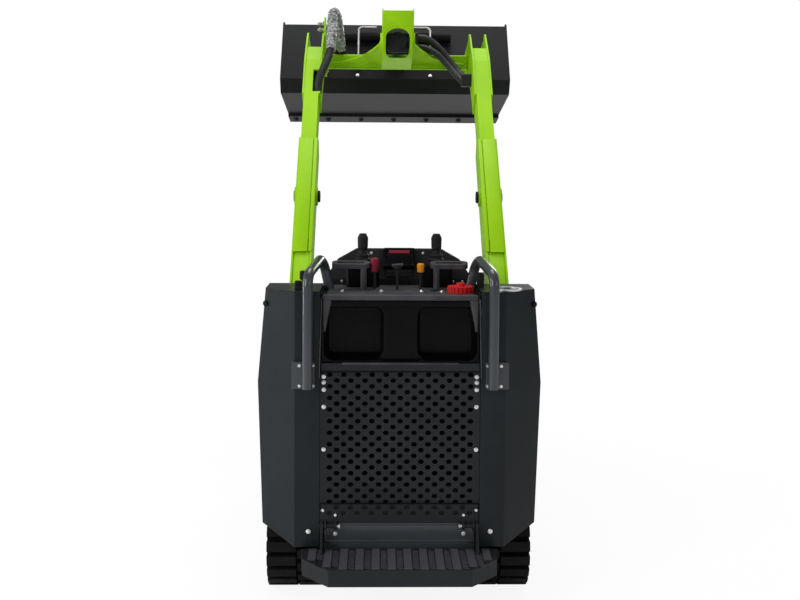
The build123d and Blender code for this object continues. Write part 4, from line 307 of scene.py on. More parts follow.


# Powder coats: name, dark and light colour, roughness, clear coat, orange peel in mm, painted edge
# highlight
# Plastics: name, dark and light colour, roughness, grain in mm and its depth in mm
# Metals: name, dark and light colour, roughness, grain in mm
finishes = {
    # Sprayed and baked on the arms: a strong even lime, half dull, so the lamps leave no hot spots
    "green_paint": powder_coat("lime_powder_coated_steel", "88bb0a", "90c40c", 0.42, 0.0, 2.5, "a0cf35"),
    # On folded sheet: a cold dark grey whose broad sheen shows the covers' bends
    "grey_paint": powder_coat(
        "blue_grey_powder_coated_steel", "1b1f22", "212629", 0.36, 0.0, 2.0, "444a51"),
    # On bent tube, with a clear coat: thin highlights that run along the handles
    "handle_paint": powder_coat(
        "satin_grey_powder_coated_tube", "303438", "383c41", 0.3, 0.8, 1.6, "5c6269"),
    # On the frame: dull and neutral, so it drops behind the covers
    "black_paint": powder_coat("black_powder_coated_steel", "202123", "262729", 0.5, 0.0, 1.6, "43454a"),
    # Dipped and stoved: deep charcoal that greys where light strikes along it
    "bucket_paint": powder_coat("charcoal_enamelled_steel", "141615", "191b1a", 0.45, 0.0, 2.5, "333635"),
    # Brushed on thick plate: the darkest and flattest paint, painted shade for the shadow on the hitch,
    # which leaves only the plate's outline
    "hitch_painted_shade": powder_coat("hitch_plate_black_painted_shade", "0b0c0c", "101111", 0.6, 0.0, 2.0, "2c2d2d"),
    # Moulded against a polished tool: clean dark reflections
    "black_plastic": moulded_plastic("gloss_black_abs", "040405", "070708", 0.3, 6.0, 0.05),
    # Moulded against an eroded tool: a fine grain that kills reflections
    "matt_plastic": moulded_plastic("grained_black_nylon", "161617", "1e1e1f", 0.55, 1.2, 0.25),
    # Dyed through and half polished: a clear red with a soft highlight
    "red_plastic": moulded_plastic("red_polypropylene", "b01c20", "c22a2a", 0.38, 2.0, 0.1),
    # Dyed through and grained: a wine red that stays in the background
    "dull_red": moulded_plastic("dark_red_nylon", "6c1a28", "7c2234", 0.5, 2.0, 0.1),
    # Dyed through and half polished: a warm mark among the black levers
    "orange_plastic": moulded_plastic("orange_polypropylene", "c77a12", "d98d1e", 0.4, 2.0, 0.1),
    "rubber": track_rubber(),
    "sleeve": woven_sleeve(),
    "film": stretch_film(),
    "lens": lamp_lens(),
    # Moulded with a coarse skin: charcoal that reads a step lighter than the trim
    "deck_finish": moulded_plastic("textured_deck_plastic", "363639", "424245", 0.5, 1.0, 0.4),
    # Smooth cover of the display: nearly black, with sharp reflections
    "glass": moulded_plastic("dark_display_glass", "07080a", "0a0b0d", 0.06, 20.0, 0.02),
    # Walked on: greyer than the frame, with its edges painted pale as a painted highlight
    "tread_paint": powder_coat("black_step_paint_with_painted_edge_highlight", "343338", "403f45", 0.45, 0.1, 1.6, "66656a"),
    # Ground and plated: bright and nearly a mirror
    "chrome_rod": bare_metal("hard_chrome_plated_steel", "c9ccd0", "d6d9dc", 0.14, 1.0),
    # Zinc on small fittings: pale points of light
    "steel": bare_metal("zinc_plated_steel", "dcdee0", "f0f1f2", 0.4, 1.5),
    # Zinc dulled by weather: a grey glint rather than a white one
    "lever_steel": bare_metal("dull_zinc_plated_rod", "8f8f8d", "a6a6a3", 0.45, 1.5),
    # Painted over sand-cast skin: dark, coarse and flat
    "cast": powder_coat("painted_iron_casting", "1b1c1e", "232426", 0.6, 0.0, 5.0, "333538"),
}
slot_of = {row["node"]: row["material_slot"] for row in frame["record"]["subparts"]}
# Nodes whose finish in the photo is not the plain one of their slot
node_finish = {
    "tilt_hoses": "sleeve",
    "coupler_hoses": "sleeve",
    "control_levers": "cast",
    "palm_bars": "deck_finish",
    # The hitch plate's near-black finish is painted shade for the shadow that falls on it
    "hitch_plate": "hitch_painted_shade",
    "hitch_lock_levers": "lever_steel",
    "grab_handle_left": "handle_paint",
    "grab_handle_right": "handle_paint",
}
for name, node in nodes.items():
    node.data.materials.clear()
    node.data.materials.append(finishes[node_finish.get(name, slot_of[name])])


# Ways of making a piece

def activate(piece=None):
    """Leaves edit mode and selects one piece, or nothing."""
    if bpy.context.object and bpy.context.object.mode != "OBJECT":
        bpy.ops.object.mode_set(mode="OBJECT")
    bpy.ops.object.select_all(action="DESELECT")
    if piece:
        piece.select_set(True)
        bpy.context.view_layer.objects.active = piece


def pick(piece, kind, wanted):
    """Goes into edit mode with the faces (FACE) or corners (VERT) selected that pass a test."""
    activate(piece)
    bpy.ops.object.mode_set(mode="EDIT")
    bpy.ops.mesh.select_mode(type=kind)
    bpy.ops.mesh.select_all(action="DESELECT")
    bpy.ops.object.mode_set(mode="OBJECT")
    for element in piece.data.polygons if kind == "FACE" else piece.data.vertices:
        element.select = wanted(element)
    bpy.ops.object.mode_set(mode="EDIT")


def sink_face(piece, facing, margin, depth, flatness=0.9):
    """Insets the faces that face a way by a margin, and sinks them by a depth."""
    pick(piece, "FACE", lambda face: face.normal.dot(facing) > flatness)
    bpy.ops.mesh.inset(thickness=margin * MM)
    bpy.ops.transform.translate(value=-facing * depth * MM)


def apply_tool(piece, kind, **settings):
    """Adds a modifier to a piece and applies it."""
    activate(piece)
    tool = piece.modifiers.new(kind.lower(), kind)
    for name, value in settings.items():
        setattr(tool, name, value)
    bpy.ops.object.modifier_apply(modifier=tool.name)


def block(size, middle=(0, 0, 0), rounding=2.0, rounds=2):
    """A box of a size in millimetres with rounded edges, to be shaped further."""
    activate()
    bpy.ops.mesh.primitive_cube_add(size=1, location=middle)
    made = bpy.context.object
    made.scale = [value * MM for value in size]
    bpy.ops.object.transform_apply(location=False, rotation=False, scale=True)
    if rounding:
        apply_tool(made, "BEVEL", width=rounding * MM, segments=rounds, limit_method="ANGLE")
    return made


def round_bar(radius, length, sides=24, rounding=0.0, rounds=2, raised=0.0):
    """An upright round bar in millimetres with its middle raised, to be shaped further."""
    activate()
    bpy.ops.mesh.primitive_cylinder_add(
        vertices=sides, radius=radius * MM, depth=length * MM, location=(0, 0, raised * MM))
    made = bpy.context.object
    if rounding:
        apply_tool(
            made, "BEVEL", width=rounding * MM, segments=rounds, limit_method="ANGLE",
            angle_limit=math.radians(50))
    return made


def aim(piece, place, facing):
    """Puts a piece that faces up at a place, turned to face a direction."""
    piece.rotation_euler = Vector(facing).to_track_quat("Z", "Y").to_euler()
    piece.location = place
    return piece


def lying_bar(radius, length, middle, facing, rounding, sides=32, rounds=3):
    """A round bar that lies along a direction, with its middle at a place."""
    return aim(round_bar(radius, length, sides, rounding, rounds), middle, facing)


def leaning_plate(size, middle, rise, rounding):
    """A rounded plate turned from upright to lie on a slope that rises ahead."""
    plate = block(size, rounding=rounding)
    plate.rotation_euler = (rise - math.radians(90), 0, 0)
    plate.location = middle
    return plate


def in_row(piece, count, step):
    """Repeats a piece in a row, by a step in millimetres in its own directions."""
    apply_tool(
        piece, "ARRAY", count=count, use_relative_offset=False, use_constant_offset=True,
        constant_offset_displace=[value * MM for value in step])
    return piece


def cut_out(piece, cutter):
    """Cuts a shape out of a piece."""
    apply_tool(piece, "BOOLEAN", operation="DIFFERENCE", object=cutter, solver="EXACT")
    bpy.data.objects.remove(cutter)


def folded_plate(half_width, folds):
    """A sheet drawn out from fold to fold, each given ahead and in height."""
    activate()
    bpy.ops.mesh.primitive_plane_add(size=2 * half_width * MM)
    sheet = bpy.context.object
    for far, fold in ((False, folds[0]), (True, folds[1])):
        pick(sheet, "VERT", lambda corner: (corner.co.y > 0) == far and abs(corner.co.z) < 0.5 * MM)
        edge = Vector((0, half_width * MM if far else -half_width * MM, 0))
        bpy.ops.transform.translate(value=spot(0, *fold) - edge)
    for before, after in zip(folds[1:], folds[2:]):
        pick(sheet, "VERT", lambda corner: (corner.co - spot(0, *before)).yz.length < 0.1 * MM)
        bpy.ops.mesh.extrude_region_move(
            TRANSFORM_OT_translate={"value": spot(0, *after) - spot(0, *before)})
    return sheet


def join(parts):
    """Makes one piece of several, with its object at the origin."""
    activate(parts[0])
    for part in parts:
        part.select_set(True)
    if len(parts) > 1:
        bpy.ops.object.join()
    bpy.ops.object.transform_apply(location=True, rotation=True, scale=True)
    return parts[0]


def repeat(model, places):
    """Copies of a model that faces up, at each place with the way it faces there and its scale."""
    join([model])
    copies = []
    for place, facing, size in places:
        copy = model.copy()
        copy.data = model.data.copy()
        bpy.context.scene.collection.objects.link(copy)
        aim(copy, place, facing)
        copy.scale = (size, size, size)
        copies.append(copy)
    bpy.data.objects.remove(model)
    return copies


def walk(corners, step):
    """Places a step apart along straight runs between corners, each with the way the run goes."""
    found = []
    left = 0.0
    for low, high in zip(corners, corners[1:]):
        run = high - low
        while left < run.length:
            found.append((low + run.normalized() * left, run.normalized()))
            left += step
        left -= run.length
    return found


def hand_over(parts, name, finish, body, smooth=35):
    """Joins parts into one named piece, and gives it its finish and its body."""
    piece = join(parts)
    activate(piece)
    bpy.ops.object.shade_smooth_by_angle(angle=math.radians(smooth))
    piece.name = name
    piece.data.name = name
    piece.data.materials.clear()
    piece.data.materials.append(finishes[finish])
    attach(piece, body)
    return piece


# Hexagon bolts on washers, each body's set as one piece

def bolt_model():
    """A hexagon head 16 mm across its flats with a chamfered top, on a washer."""
    washer = round_bar(13, 2.5, 24, 0.6, 1, raised=1.2)
    head = round_bar(9.4, 7.5, 6, raised=5.5)
    sink_face(head, UPWARD, 1.2, -1.2)
    return join([washer, head])


# Columns: across to either side, ahead, height, scale
REAR_BOLTS = (
    (282, -0.5, 889, 0.62),
    (282, -0.5, 868, 0.62),
    (282, -0.5, 841, 0.62),
    (282, -0.5, 777, 0.62),
    (282, -0.5, 617, 0.62),
    (284, -3.0, 390, 0.62),
    (238, -3.0, 372, 0.62),
    (238, -3.0, 300, 0.62),
    (324, -6.5, 932, 0.72),
    (324, -6.5, 857, 0.72),
    (371, -6.5, 932, 0.72),
    (371, -6.5, 857, 0.72),
    (338, -3.0, 309, 0.70),
)
DECK_BOLTS = ((-219, 130), (-71, 130), (81, 130), (158, 120), (226, 190), (262, 190))
EDGE_BOLTS = (-560, -374, -187, 0, 187, 374, 560)
EDGE_BOLT_LINE = FLOOR_LENGTH + 34
# Columns: across, up the bucket's back, scale
HITCH_BOLTS = (
    (-197, 14, 0.7), (181, 14, 0.7), (-400, 20, 0.9), (-400, 88, 0.9), (400, 20, 0.9), (400, 88, 0.9))

bolts = [
    (spot(side * across, forward, height), REARWARD, size)
    for side in SIDES for across, forward, height, size in REAR_BOLTS]
bolts += [(spot(across, forward, DECK + 2), UPWARD, 0.6) for across, forward in DECK_BOLTS]
hand_over(repeat(bolt_model(), bolts), "chassis_bolts", "steel", "chassis")
bolts = [
    (on_bucket(across, EDGE_BOLT_LINE, -EDGE_THICKNESS), UNDER_FLOOR, 1.25) for across in EDGE_BOLTS]
hand_over(repeat(bolt_model(), bolts), "cutting_edge_bolts", "cast", "bucket")
bolts = [(on_back(across, up, HITCH_PLATE), BEHIND_BACK, size) for across, up, size in HITCH_BOLTS]
hand_over(repeat(bolt_model(), bolts), "hitch_bolts", "steel", "bucket")


# Tower: plates cut level at the top, and a folded cover with an arched opening that closes the rear
TOWER_HALF = 66.4
TOWER_TOP = 2354.0
PLATES_TOP = 2349.0
COVER_FOLDS = ((1318.0, 2128.0), (1050.0, 2170.0), (978.0, 2220.0), (905.0, TOWER_TOP))
COVER_LIP = Vector((0, 30, 12))
COVER_THICKNESS = 6.0
COVER_ROUNDING = 1.5
OPENING_HALF = 55.0
OPENING_LOW = 2160.0
OPENING_SPRING = 2240.0
OPENING_HIGH = OPENING_SPRING + 20
OPENING_MIDDLE = 1000.0
ARCH_FLATNESS = 0.7
CUT_LENGTH = 600.0

tower = nodes["tilt_tower"].copy()
tower.data = nodes["tilt_tower"].data.copy()
bpy.context.scene.collection.objects.link(tower)
pick(tower, "FACE", lambda face: True)
bpy.ops.mesh.remove_doubles(threshold=0.01 * MM)
bpy.ops.mesh.select_all(action="SELECT")
bpy.ops.mesh.bisect(
    plane_co=(0, 0, PLATES_TOP * MM), plane_no=(0, 0, 1), use_fill=True, clear_outer=True)
hand_over([tower], "tower_plates", "green_paint", "lift_arm")
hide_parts("tilt_tower")

tower_cover = folded_plate(TOWER_HALF, COVER_FOLDS)
for side in SIDES:
    pick(tower_cover, "VERT", lambda corner: corner.co.x * side > (TOWER_HALF - 0.1) * MM)
    bpy.ops.mesh.extrude_region_move(TRANSFORM_OT_translate={"value": COVER_LIP * MM})
apply_tool(tower_cover, "SOLIDIFY", thickness=COVER_THICKNESS * MM, offset=1)
cut_out(tower_cover, block(
    (2 * OPENING_HALF, CUT_LENGTH, OPENING_HIGH - OPENING_LOW),
    spot(0, OPENING_MIDDLE, (OPENING_HIGH + OPENING_LOW) / 2), 24, 4))
arch = aim(round_bar(OPENING_HALF, CUT_LENGTH, 32), spot(0, OPENING_MIDDLE, OPENING_SPRING), REARWARD)
arch.scale = (1, ARCH_FLATNESS, 1)
cut_out(tower_cover, arch)
apply_tool(tower_cover, "BEVEL", width=COVER_ROUNDING * MM, segments=2, limit_method="ANGLE")
hand_over([tower_cover], "tower_cover", "green_paint", "lift_arm")

# Tilt cylinder's base in the opening: a cap with a sunk face, a hexagon port plug and a grease point
base_cap = block((102, 44, 88), rounding=16, rounds=4)
sink_face(base_cap, REARWARD, 10, 4, 0.95)
base_cap.location = spot(0, 1030, 2222)
port = lying_bar(11, 14, spot(28, 1004, 2206), REARWARD, 1, 6, 1)
grease_point = lying_bar(5, 14, spot(2, 1006, 2254), REARWARD, 1.5, 12, 2)
hand_over([base_cap, port, grease_point], "tilt_cylinder_base", "cast", "tilt_barrel")


# Step: serrated grip strips across the fold-up platform, shorter where its corners are cut off
STRIP_PITCH = 58.0
STRIP_WIDTH = 30.0
STRIP_COUNT = 12
STRIP_HEIGHT = 3.0
STEP_TOP = 245.0
STEP_FAR = -202.0
STEP_NEAR = -10.0
CORNER_START = 254.0
CORNER_SLOPE = 102.0 / 99.0
TOOTH_PITCH = 13.0
TOOTH_SIZE = (STRIP_PITCH - STRIP_WIDTH - 4, 4, 3)
TOOTH_TURN = math.radians(-24)
RIDGE_PITCH = 7.0
RIDGE_SIZE = (STRIP_WIDTH - 2, 2.4, 2.4)

strips = []
teeth = []
for number in range(STRIP_COUNT):
    across = (number - (STRIP_COUNT - 1) / 2) * STRIP_PITCH
    far = STEP_FAR + max(0, abs(across) + STRIP_WIDTH / 2 - CORNER_START) * CORNER_SLOPE
    length = STEP_NEAR - far
    middle = spot(across, (STEP_NEAR + far) / 2, STEP_TOP + 1)
    strips.append(block((STRIP_WIDTH, length, STRIP_HEIGHT), middle, 0.8, 1))
    ridge = block(RIDGE_SIZE, spot(across, far + 6, STEP_TOP + 2.4), 0)
    strips.append(in_row(ridge, int((length - 10) / RIDGE_PITCH), (0, RIDGE_PITCH, 0)))
    if number < STRIP_COUNT - 1:
        tooth = block(TOOTH_SIZE, rounding=0)
        tooth.rotation_euler = (0, 0, TOOTH_TURN)
        bpy.ops.object.transform_apply(location=False, rotation=True, scale=False)
        tooth.location = spot(across + STRIP_PITCH / 2, far + 12, STEP_TOP + 0.4)
        teeth.append(in_row(tooth, int((length - 16) / TOOTH_PITCH), (0, TOOTH_PITCH, 0)))
hand_over(teeth, "step_grip_teeth", "tread_paint", "platform")
hand_over(strips, "step_grip_strips", "tread_paint", "platform")


# Console: display face, vent ribs, lever knobs, key switch, deck seams and dash screws

def dash_plate(along, width, height, thickness, out, rounding):
    """A rounded plate that lies in the middle of the dash's face."""
    return leaning_plate(
        (width, thickness, height), on_dash(0, along, out + thickness / 2), DASH_RISE, rounding)


bezel = dash_plate(84, 122, 80, 5, 24, 2)
sink_face(bezel, REARWARD, 8, 3)
hand_over([bezel], "display_bezel", "black_plastic", "chassis")
hand_over([dash_plate(72, 100, 46, 2, 26.5, 0.6)], "display_glass", "glass", "chassis")
hand_over([dash_plate(106, 84, 14, 2.5, 28, 1)], "display_strip", "dull_red", "chassis")
ribs = [dash_plate(along, 106, 3, 6, 1, 1) for along in range(12, 37, 6)]
hand_over(ribs, "dash_vent_ribs", "deck_finish", "chassis")

KNOB_TAPER = 0.95
CROSSBAR_LEAN = math.radians(86)


def knob(across, forward, low, high, radius, name, finish):
    """A lever knob: a grip with a domed top that is a little slimmer below its middle."""
    grip = round_bar(radius, high - low, 24, radius * 0.45, 4)
    pick(grip, "VERT", lambda corner: corner.co.z < 0)
    bpy.ops.transform.resize(value=(KNOB_TAPER, KNOB_TAPER, 1.0), center_override=(0, 0, 0))
    grip.location = spot(across, forward, (low + high) / 2)
    hand_over([grip], name, finish, "chassis")


knob(-98, 210, 1252, 1308, 16, "throttle_knob", "dull_red")
knob(80, 205, 1252, 1288, 14, "choke_knob", "orange_plastic")
crossbar = lying_bar(
    7, 44, spot(-10, 200, 1280), (math.sin(CROSSBAR_LEAN), 0, math.cos(CROSSBAR_LEAN)), 3, 20)
hand_over([crossbar], "selector_crossbar", "deck_finish", "chassis")

key = join([round_bar(13, 8, 32, 1.5, raised=4), block((3, 14, 6), (0, 0, 10 * MM), 1)])
key.location = spot(128, 150, DECK)
hand_over([key], "key_switch", "cast", "chassis")

seams = [block((3, 150, 2.4), spot(side * 128, 105, DECK + 1), 0.6, 1) for side in SIDES]
seams.append(block((520, 3, 2.4), spot(0, 178, DECK + 1), 0.6, 1))
hand_over(seams, "deck_seam_beads", "matt_plastic", "chassis")
screws = [(on_dash(across, 112, 1), OFF_DASH, 0.42) for across in (-112, 96)]
screws += [(spot(across, 329, 1202), REARWARD, 0.4) for across in (-229, 215, 252)]
hand_over(repeat(bolt_model(), screws), "dash_screws", "steel", "chassis")


# Rubber bumpers on the covers' outer sides, each seated where a straight line meets the cover
BUMPER_PLACE = (90, 1147)
OUTSIDE_COVERS = 700.0

bumpers = []
for side, cover in zip(SIDES, (nodes["side_cover_left"], nodes["side_cover_right"])):
    seat, normal = cover.ray_cast(spot(side * OUTSIDE_COVERS, *BUMPER_PLACE), LEFTWARD * side)[1:3]
    bumpers.append((seat, normal, 1.0))
hand_over(repeat(round_bar(11, 10, 32, 4, 3, raised=4), bumpers), "cover_bumpers", "rubber", "chassis")


# Panel's upper margin, and its lower one with two rows of flat hexagon holes over a near-black sheet of
# painted shade
HOLE_PITCH = 52.0
HOLE_RADIUS = 12.0
HOLE_FLATNESS = 0.75
# Columns: holes in the row, height
HOLE_ROWS = ((10, 400), (11, 379))

# The near-black sheet behind the holes is painted shade in them
hole_shade_sheet = block((578, 1.4, 64), spot(0, -0.9, 374), 0)
hand_over([hole_shade_sheet], "panel_hole_painted_shade", "black_plastic", "chassis")
margin = block((584, 3, 71), spot(0, -3.2, 375.5), 0.8, 1)
for count, height in HOLE_ROWS:
    hole = lying_bar(HOLE_RADIUS, 40, spot(-(count - 1) / 2 * HOLE_PITCH, 0, height), REARWARD, 0, 6)
    hole.scale = (1, HOLE_FLATNESS, 1)
    cut_out(margin, in_row(hole, count, (HOLE_PITCH, 0, 0)))
top_margin = block((584, 3, 28), spot(0, -2.5, 926), 0.8, 1)
hand_over([margin, top_margin], "panel_margins", "black_paint", "chassis")

# Skirt plate under the panel with its flange, and the pins and collars of the platform's hinge
HINGE_LINE = (-18, 334)

skirt = block((560, 6, 72), spot(0, -1.5, 304), 2.5)
sink_face(skirt, REARWARD, 6, 1.5)
skirt_flange = block((560, 10, 26), spot(0, 6, 255))
# The skirt's lighter handle paint is painted light, lifting the shade that falls on it under the platform
hand_over([skirt, skirt_flange], "skirt_plate", "handle_paint", "chassis")
pins = [lying_bar(6, 58, spot(side * 250, *HINGE_LINE), RIGHTWARD, 1.5, 20, 2) for side in SIDES]
pins += [lying_bar(10, 5, spot(side * 222, *HINGE_LINE), RIGHTWARD, 1, 24, 2) for side in SIDES]
hand_over(pins, "platform_hinge_pins", "steel", "chassis")


# Latches: foot, stem, knob and side knob on the left cover, and one between console and right cover
latches = [
    block((46, 44, 12), spot(-370, 60, 1211), 3),
    block((14, 14, 40), spot(-362, 60, 1232), 3),
    block((26, 26, 34), spot(-362, 60, 1257), 6, 3),
    block((24, 24, 22), spot(-382, 60, 1226), 5, 3),
    block((26, 40, 54), spot(306, 150, 1232), 4, 3)]
hand_over(latches, "cover_latches", "matt_plastic", "chassis")


# Covers' inner edges, where the bare fold catches the light: bars in the lighter handle paint, a painted
# highlight
edges = []
for side in SIDES:
    high = spot(side * 291, -2, 1178)
    low = spot(side * 299, -2, 885)
    edges.append(aim(round_bar(2.2, (high - low).length / MM, 12, 1), (high + low) / 2, high - low))
hand_over(edges, "cover_edge_painted_highlights", "handle_paint", "chassis")


# Rubber seals that close the gaps between the console and the covers
seals = [block((7, 300, 150), spot(side * 294, 160, 1120)) for side in SIDES]
hand_over(seals, "console_side_seals", "rubber", "chassis")


# Deck: a textured mat, the lip along its rear edge with ends that turn down, and the panel's fold
LIP_END_WIDTH = 34.0
LIP_END_TAPER = 0.35
LIP_END_LEAN = 12.0

mat = block((548, 300, 2), spot(0, 178, DECK + 1), 0.8, 1)
hand_over([mat], "deck_mat", "deck_finish", "chassis")
# The lip's paler deck finish is a painted highlight on the housing's rear edge
lip = [block((576, 22, 22), spot(0, 8, DECK - 4), 9, 5)]
for side in SIDES:
    end = block((LIP_END_WIDTH, 22, 124), rounding=9, rounds=4)
    pick(end, "VERT", lambda corner: corner.co.z < 0)
    bpy.ops.transform.resize(
        value=(LIP_END_TAPER, 1.0, 1.0), center_override=(side * LIP_END_WIDTH / 2 * MM, 0, 0))
    bpy.ops.transform.translate(value=FORWARD * LIP_END_LEAN * MM)
    end.location = spot(side * 271, 9, DECK - 72)
    lip.append(end)
hand_over(lip, "deck_edge_painted_highlight", "deck_finish", "chassis")
panel_fold = block((432, 12, 8), spot(0, 0, 938), 3, 3)
hand_over([panel_fold], "panel_top_fold", "deck_finish", "chassis")


# Arms: raised plates welded on their backs, the closing plate in each recess and dark pin ends
RAISED_SPAN = (380.0, 980.0)
RECESS_SPAN = (80.0, 384.0)
RAISED_ACROSS = 399.0
RAISED_WIDTH = 58.0
BACK_FACE = 66.0
BEAD_RADIUS = 3.5
LIFT_PIN_RADIUS = 25.0
LIFT_PIN_ALONG = 710.0
# Columns: across to either side, span along the beam, out from its middle, width, thickness, rounding
BACK_PLATES = (
    (RAISED_ACROSS, RAISED_SPAN, BACK_FACE, RAISED_WIDTH, 5, 1.2),
    (359.5, RAISED_SPAN, BACK_FACE, 15, 5, 1.2),
    (393, RECESS_SPAN, BACK_FACE - 10, 65, 6, 1.0),
)
# Columns: across to either side, length
PIN_ENDS = ((340, 13), (442, 8))

back_plates = []
pin_ends = []
for side in SIDES:
    for across, span, out, width, thickness, rounding in BACK_PLATES:
        size = (width, thickness, span[1] - span[0])
        middle = on_beam(side * across, sum(span) / 2, out + thickness / 2)
        back_plates.append(leaning_plate(size, middle, BEAM_RISE, rounding))
    bead_middle = on_beam(side * RAISED_ACROSS, RAISED_SPAN[0], BACK_FACE + 4)
    back_plates.append(lying_bar(BEAD_RADIUS, RAISED_WIDTH, bead_middle, RIGHTWARD, 1, 12, 2))
    for across, length in PIN_ENDS:
        middle = on_beam(side * across, LIFT_PIN_ALONG, 0)
        pin_ends.append(lying_bar(LIFT_PIN_RADIUS, length, middle, RIGHTWARD, 3, 32, 2))
hand_over(back_plates, "arm_back_plates", "green_paint", "lift_arm")
hand_over(pin_ends, "lift_pin_ends", "cast", "lift_arm")


# Hood: louvres in its sides, ribs on its top, a latch on its nose and the lamps' lenses
LOUVRE_COUNT = 8
LOUVRE_PITCH = 27.0
LOUVRE_SLANT = 6.0
NOSE_LEAN = math.radians(-17.7)

louvres = []
for side in SIDES:
    for forward in (700, 880):
        blade = block((9, 140, 13), rounding=1, rounds=1)
        pick(blade, "VERT", lambda corner: corner.co.x * side > 0 and corner.co.z > 0)
        bpy.ops.transform.translate(value=LEFTWARD * side * LOUVRE_SLANT * MM)
        blade.location = spot(side * 324.5, forward, 590)
        louvres.append(in_row(blade, LOUVRE_COUNT, (0, 0, LOUVRE_PITCH)))
hand_over(louvres, "hood_louvres", "grey_paint", "hood")
top_ribs = [block((240, 14, 7), spot(0, forward, 1087), 3) for forward in range(560, 761, 28)]
hand_over(top_ribs, "hood_top_ribs", "grey_paint", "hood")
latch = join([block((96, 26, 8), (0, 0, 4 * MM), 3), block((50, 14, 16), (0, 0, 14 * MM), 5, 3)])
latch.rotation_euler = (NOSE_LEAN, 0, 0)
latch.location = spot(0, 1385, 893)
hand_over([latch], "hood_latch", "matt_plastic", "hood")
lenses = [(spot(side * 276, 1536, 730), FORWARD, 1.0) for side in SIDES]
hand_over(repeat(round_bar(30, 8, 40, 3, 3), lenses), "lamp_lenses", "lens", "hood")


# Engine bay, seen when the hood is up: the head with its pulleys, and what stands round it
head = [
    block((230, 420, 116), spot(0, 900, 816), 14, 3),
    block((150, 380, 50), spot(0, 900, 892), 18, 4),
    lying_bar(32, 190, spot(60, 730, 850), FORWARD, 3),
    lying_bar(46, 112, spot(244, 760, 560), RIGHTWARD, 8),
    lying_bar(75, 26, spot(0, 1252, 420), FORWARD, 4),
    lying_bar(48, 26, spot(-96, 1252, 640), FORWARD, 4),
    lying_bar(38, 26, spot(92, 1252, 600), FORWARD, 4)]
hand_over(head, "engine_head_and_pulleys", "cast", "chassis")
air_cleaner = [
    lying_bar(78, 260, spot(-30, 640, 890), RIGHTWARD, 14),
    block((70, 50, 90), spot(-30, 655, 790), 4)]
hand_over(air_cleaner, "air_cleaner", "matt_plastic", "chassis")
hand_over([lying_bar(68, 360, spot(-232, 1000, 822), FORWARD, 16)], "muffler", "steel", "chassis")
battery = [block((108, 220, 176), spot(254, 1060, 556), 6)]
battery += [lying_bar(10, 20, spot(254, forward, 652), UPWARD, 2) for forward in (990, 1130)]
hand_over(battery, "battery", "matt_plastic", "chassis")

FIN_COUNT = 34
FIN_PITCH = 11.0
RADIATOR_FORWARD = 1340.0

radiator = [block((430, 52, 26), spot(0, RADIATOR_FORWARD, height), 5) for height in (482, 812)]
radiator += [block((26, 52, 330), spot(side * 202, RADIATOR_FORWARD, 647), 5) for side in SIDES]
fins = block((2.5, 44, 310), spot(-184, RADIATOR_FORWARD, 647), 0)
radiator.append(in_row(fins, FIN_COUNT, (FIN_PITCH, 0, 0)))
radiator.append(lying_bar(26, 22, spot(120, RADIATOR_FORWARD, 832), UPWARD, 4))
hand_over(radiator, "radiator", "black_paint", "chassis")


# Wrapped bundle: stretch film wound over both legs of the coupler hose, each turn a little askew
BUNDLE_CORNERS = (
    (-309, 1074, 2205),
    (-308, 1092, 2255),
    (-306, 1125, 2330),
    (-304, 1150, 2366),
    (-300, 1178, 2377),
    (-295, 1212, 2377),
    (-288, 1250, 2362),
    (-282, 1278, 2326),
    (-275, 1296, 2268),
    (-273, 1318, 2222),
)
WINDING_RADIUS = 23.5
WINDING_LENGTH = 30.0
WINDING_PITCH = 13.0
WINDING_TAPER = 0.86
WINDING_SHIFT = 2.0
WINDING_TILT = 0.3
WINDING_SWELL = 0.07

winding = round_bar(WINDING_RADIUS, WINDING_LENGTH, 24, 5, 3)
pick(winding, "VERT", lambda corner: corner.co.z > 0)
bpy.ops.transform.resize(value=(WINDING_TAPER, WINDING_TAPER, 1.0), center_override=(0, 0, 0))
windings = []
bundle_line = [spot(*corner) for corner in BUNDLE_CORNERS]
for number, (place, along) in enumerate(walk(bundle_line, WINDING_PITCH * MM)):
    wobble = Vector((math.sin(number * 1.7), math.cos(number * 2.3), math.sin(number * 0.9)))
    size = 1.0 + WINDING_SWELL * math.sin(number * 2.9)
    windings.append((place + wobble * WINDING_SHIFT * MM, along + wobble * WINDING_TILT, size))
hand_over(repeat(winding, windings), "wound_stretch_film", "film", "lift_arm")


# Quick couplers in the bracket's two holes, each a hexagon body, a sleeve and a dust plug
COUPLER_PLATE = -351.7
COUPLER_FORWARD = 1298.0

coupler = join([
    round_bar(13, 8, 6, 0.8, 1, raised=4),
    round_bar(9.5, 14, 24, 1, raised=14),
    round_bar(12, 11, 24, 1.5, raised=22),
    round_bar(8, 6, 24, 1.5, raised=30)])
couplers = [(spot(COUPLER_PLATE, COUPLER_FORWARD, height), LEFTWARD, 1.0) for height in (2312, 2340)]
hand_over(repeat(coupler, couplers), "quick_couplers", "lever_steel", "lift_arm")


# Weld beads where the plates meet, as rows of overlapping drops
DROP_RADIUS = 3.5
DROP_FLATNESS = 0.75
DROP_PITCH = DROP_RADIUS * 1.3
ARM_INNER = 352.0
WELD_INSET = 8.0
CROSS_MIDDLE = (1350.0, 2163.0)
CROSS_HALF = 34.0
HITCH_HALF = 428.0


def weld(name, finish, body, runs):
    """Lays drops of weld metal along runs, each between two places."""
    activate()
    bpy.ops.mesh.primitive_uv_sphere_add(segments=10, ring_count=6, radius=DROP_RADIUS * MM)
    drop = bpy.context.object
    pick(drop, "FACE", lambda face: True)
    bpy.ops.transform.resize(value=(1, 1, DROP_FLATNESS))
    drops = [
        (place, along + UPWARD * 0.01, 1.0)
        for low, high in runs for place, along in walk([low, high], DROP_PITCH * MM)]
    hand_over(repeat(drop, drops), name, finish, body, smooth=60)


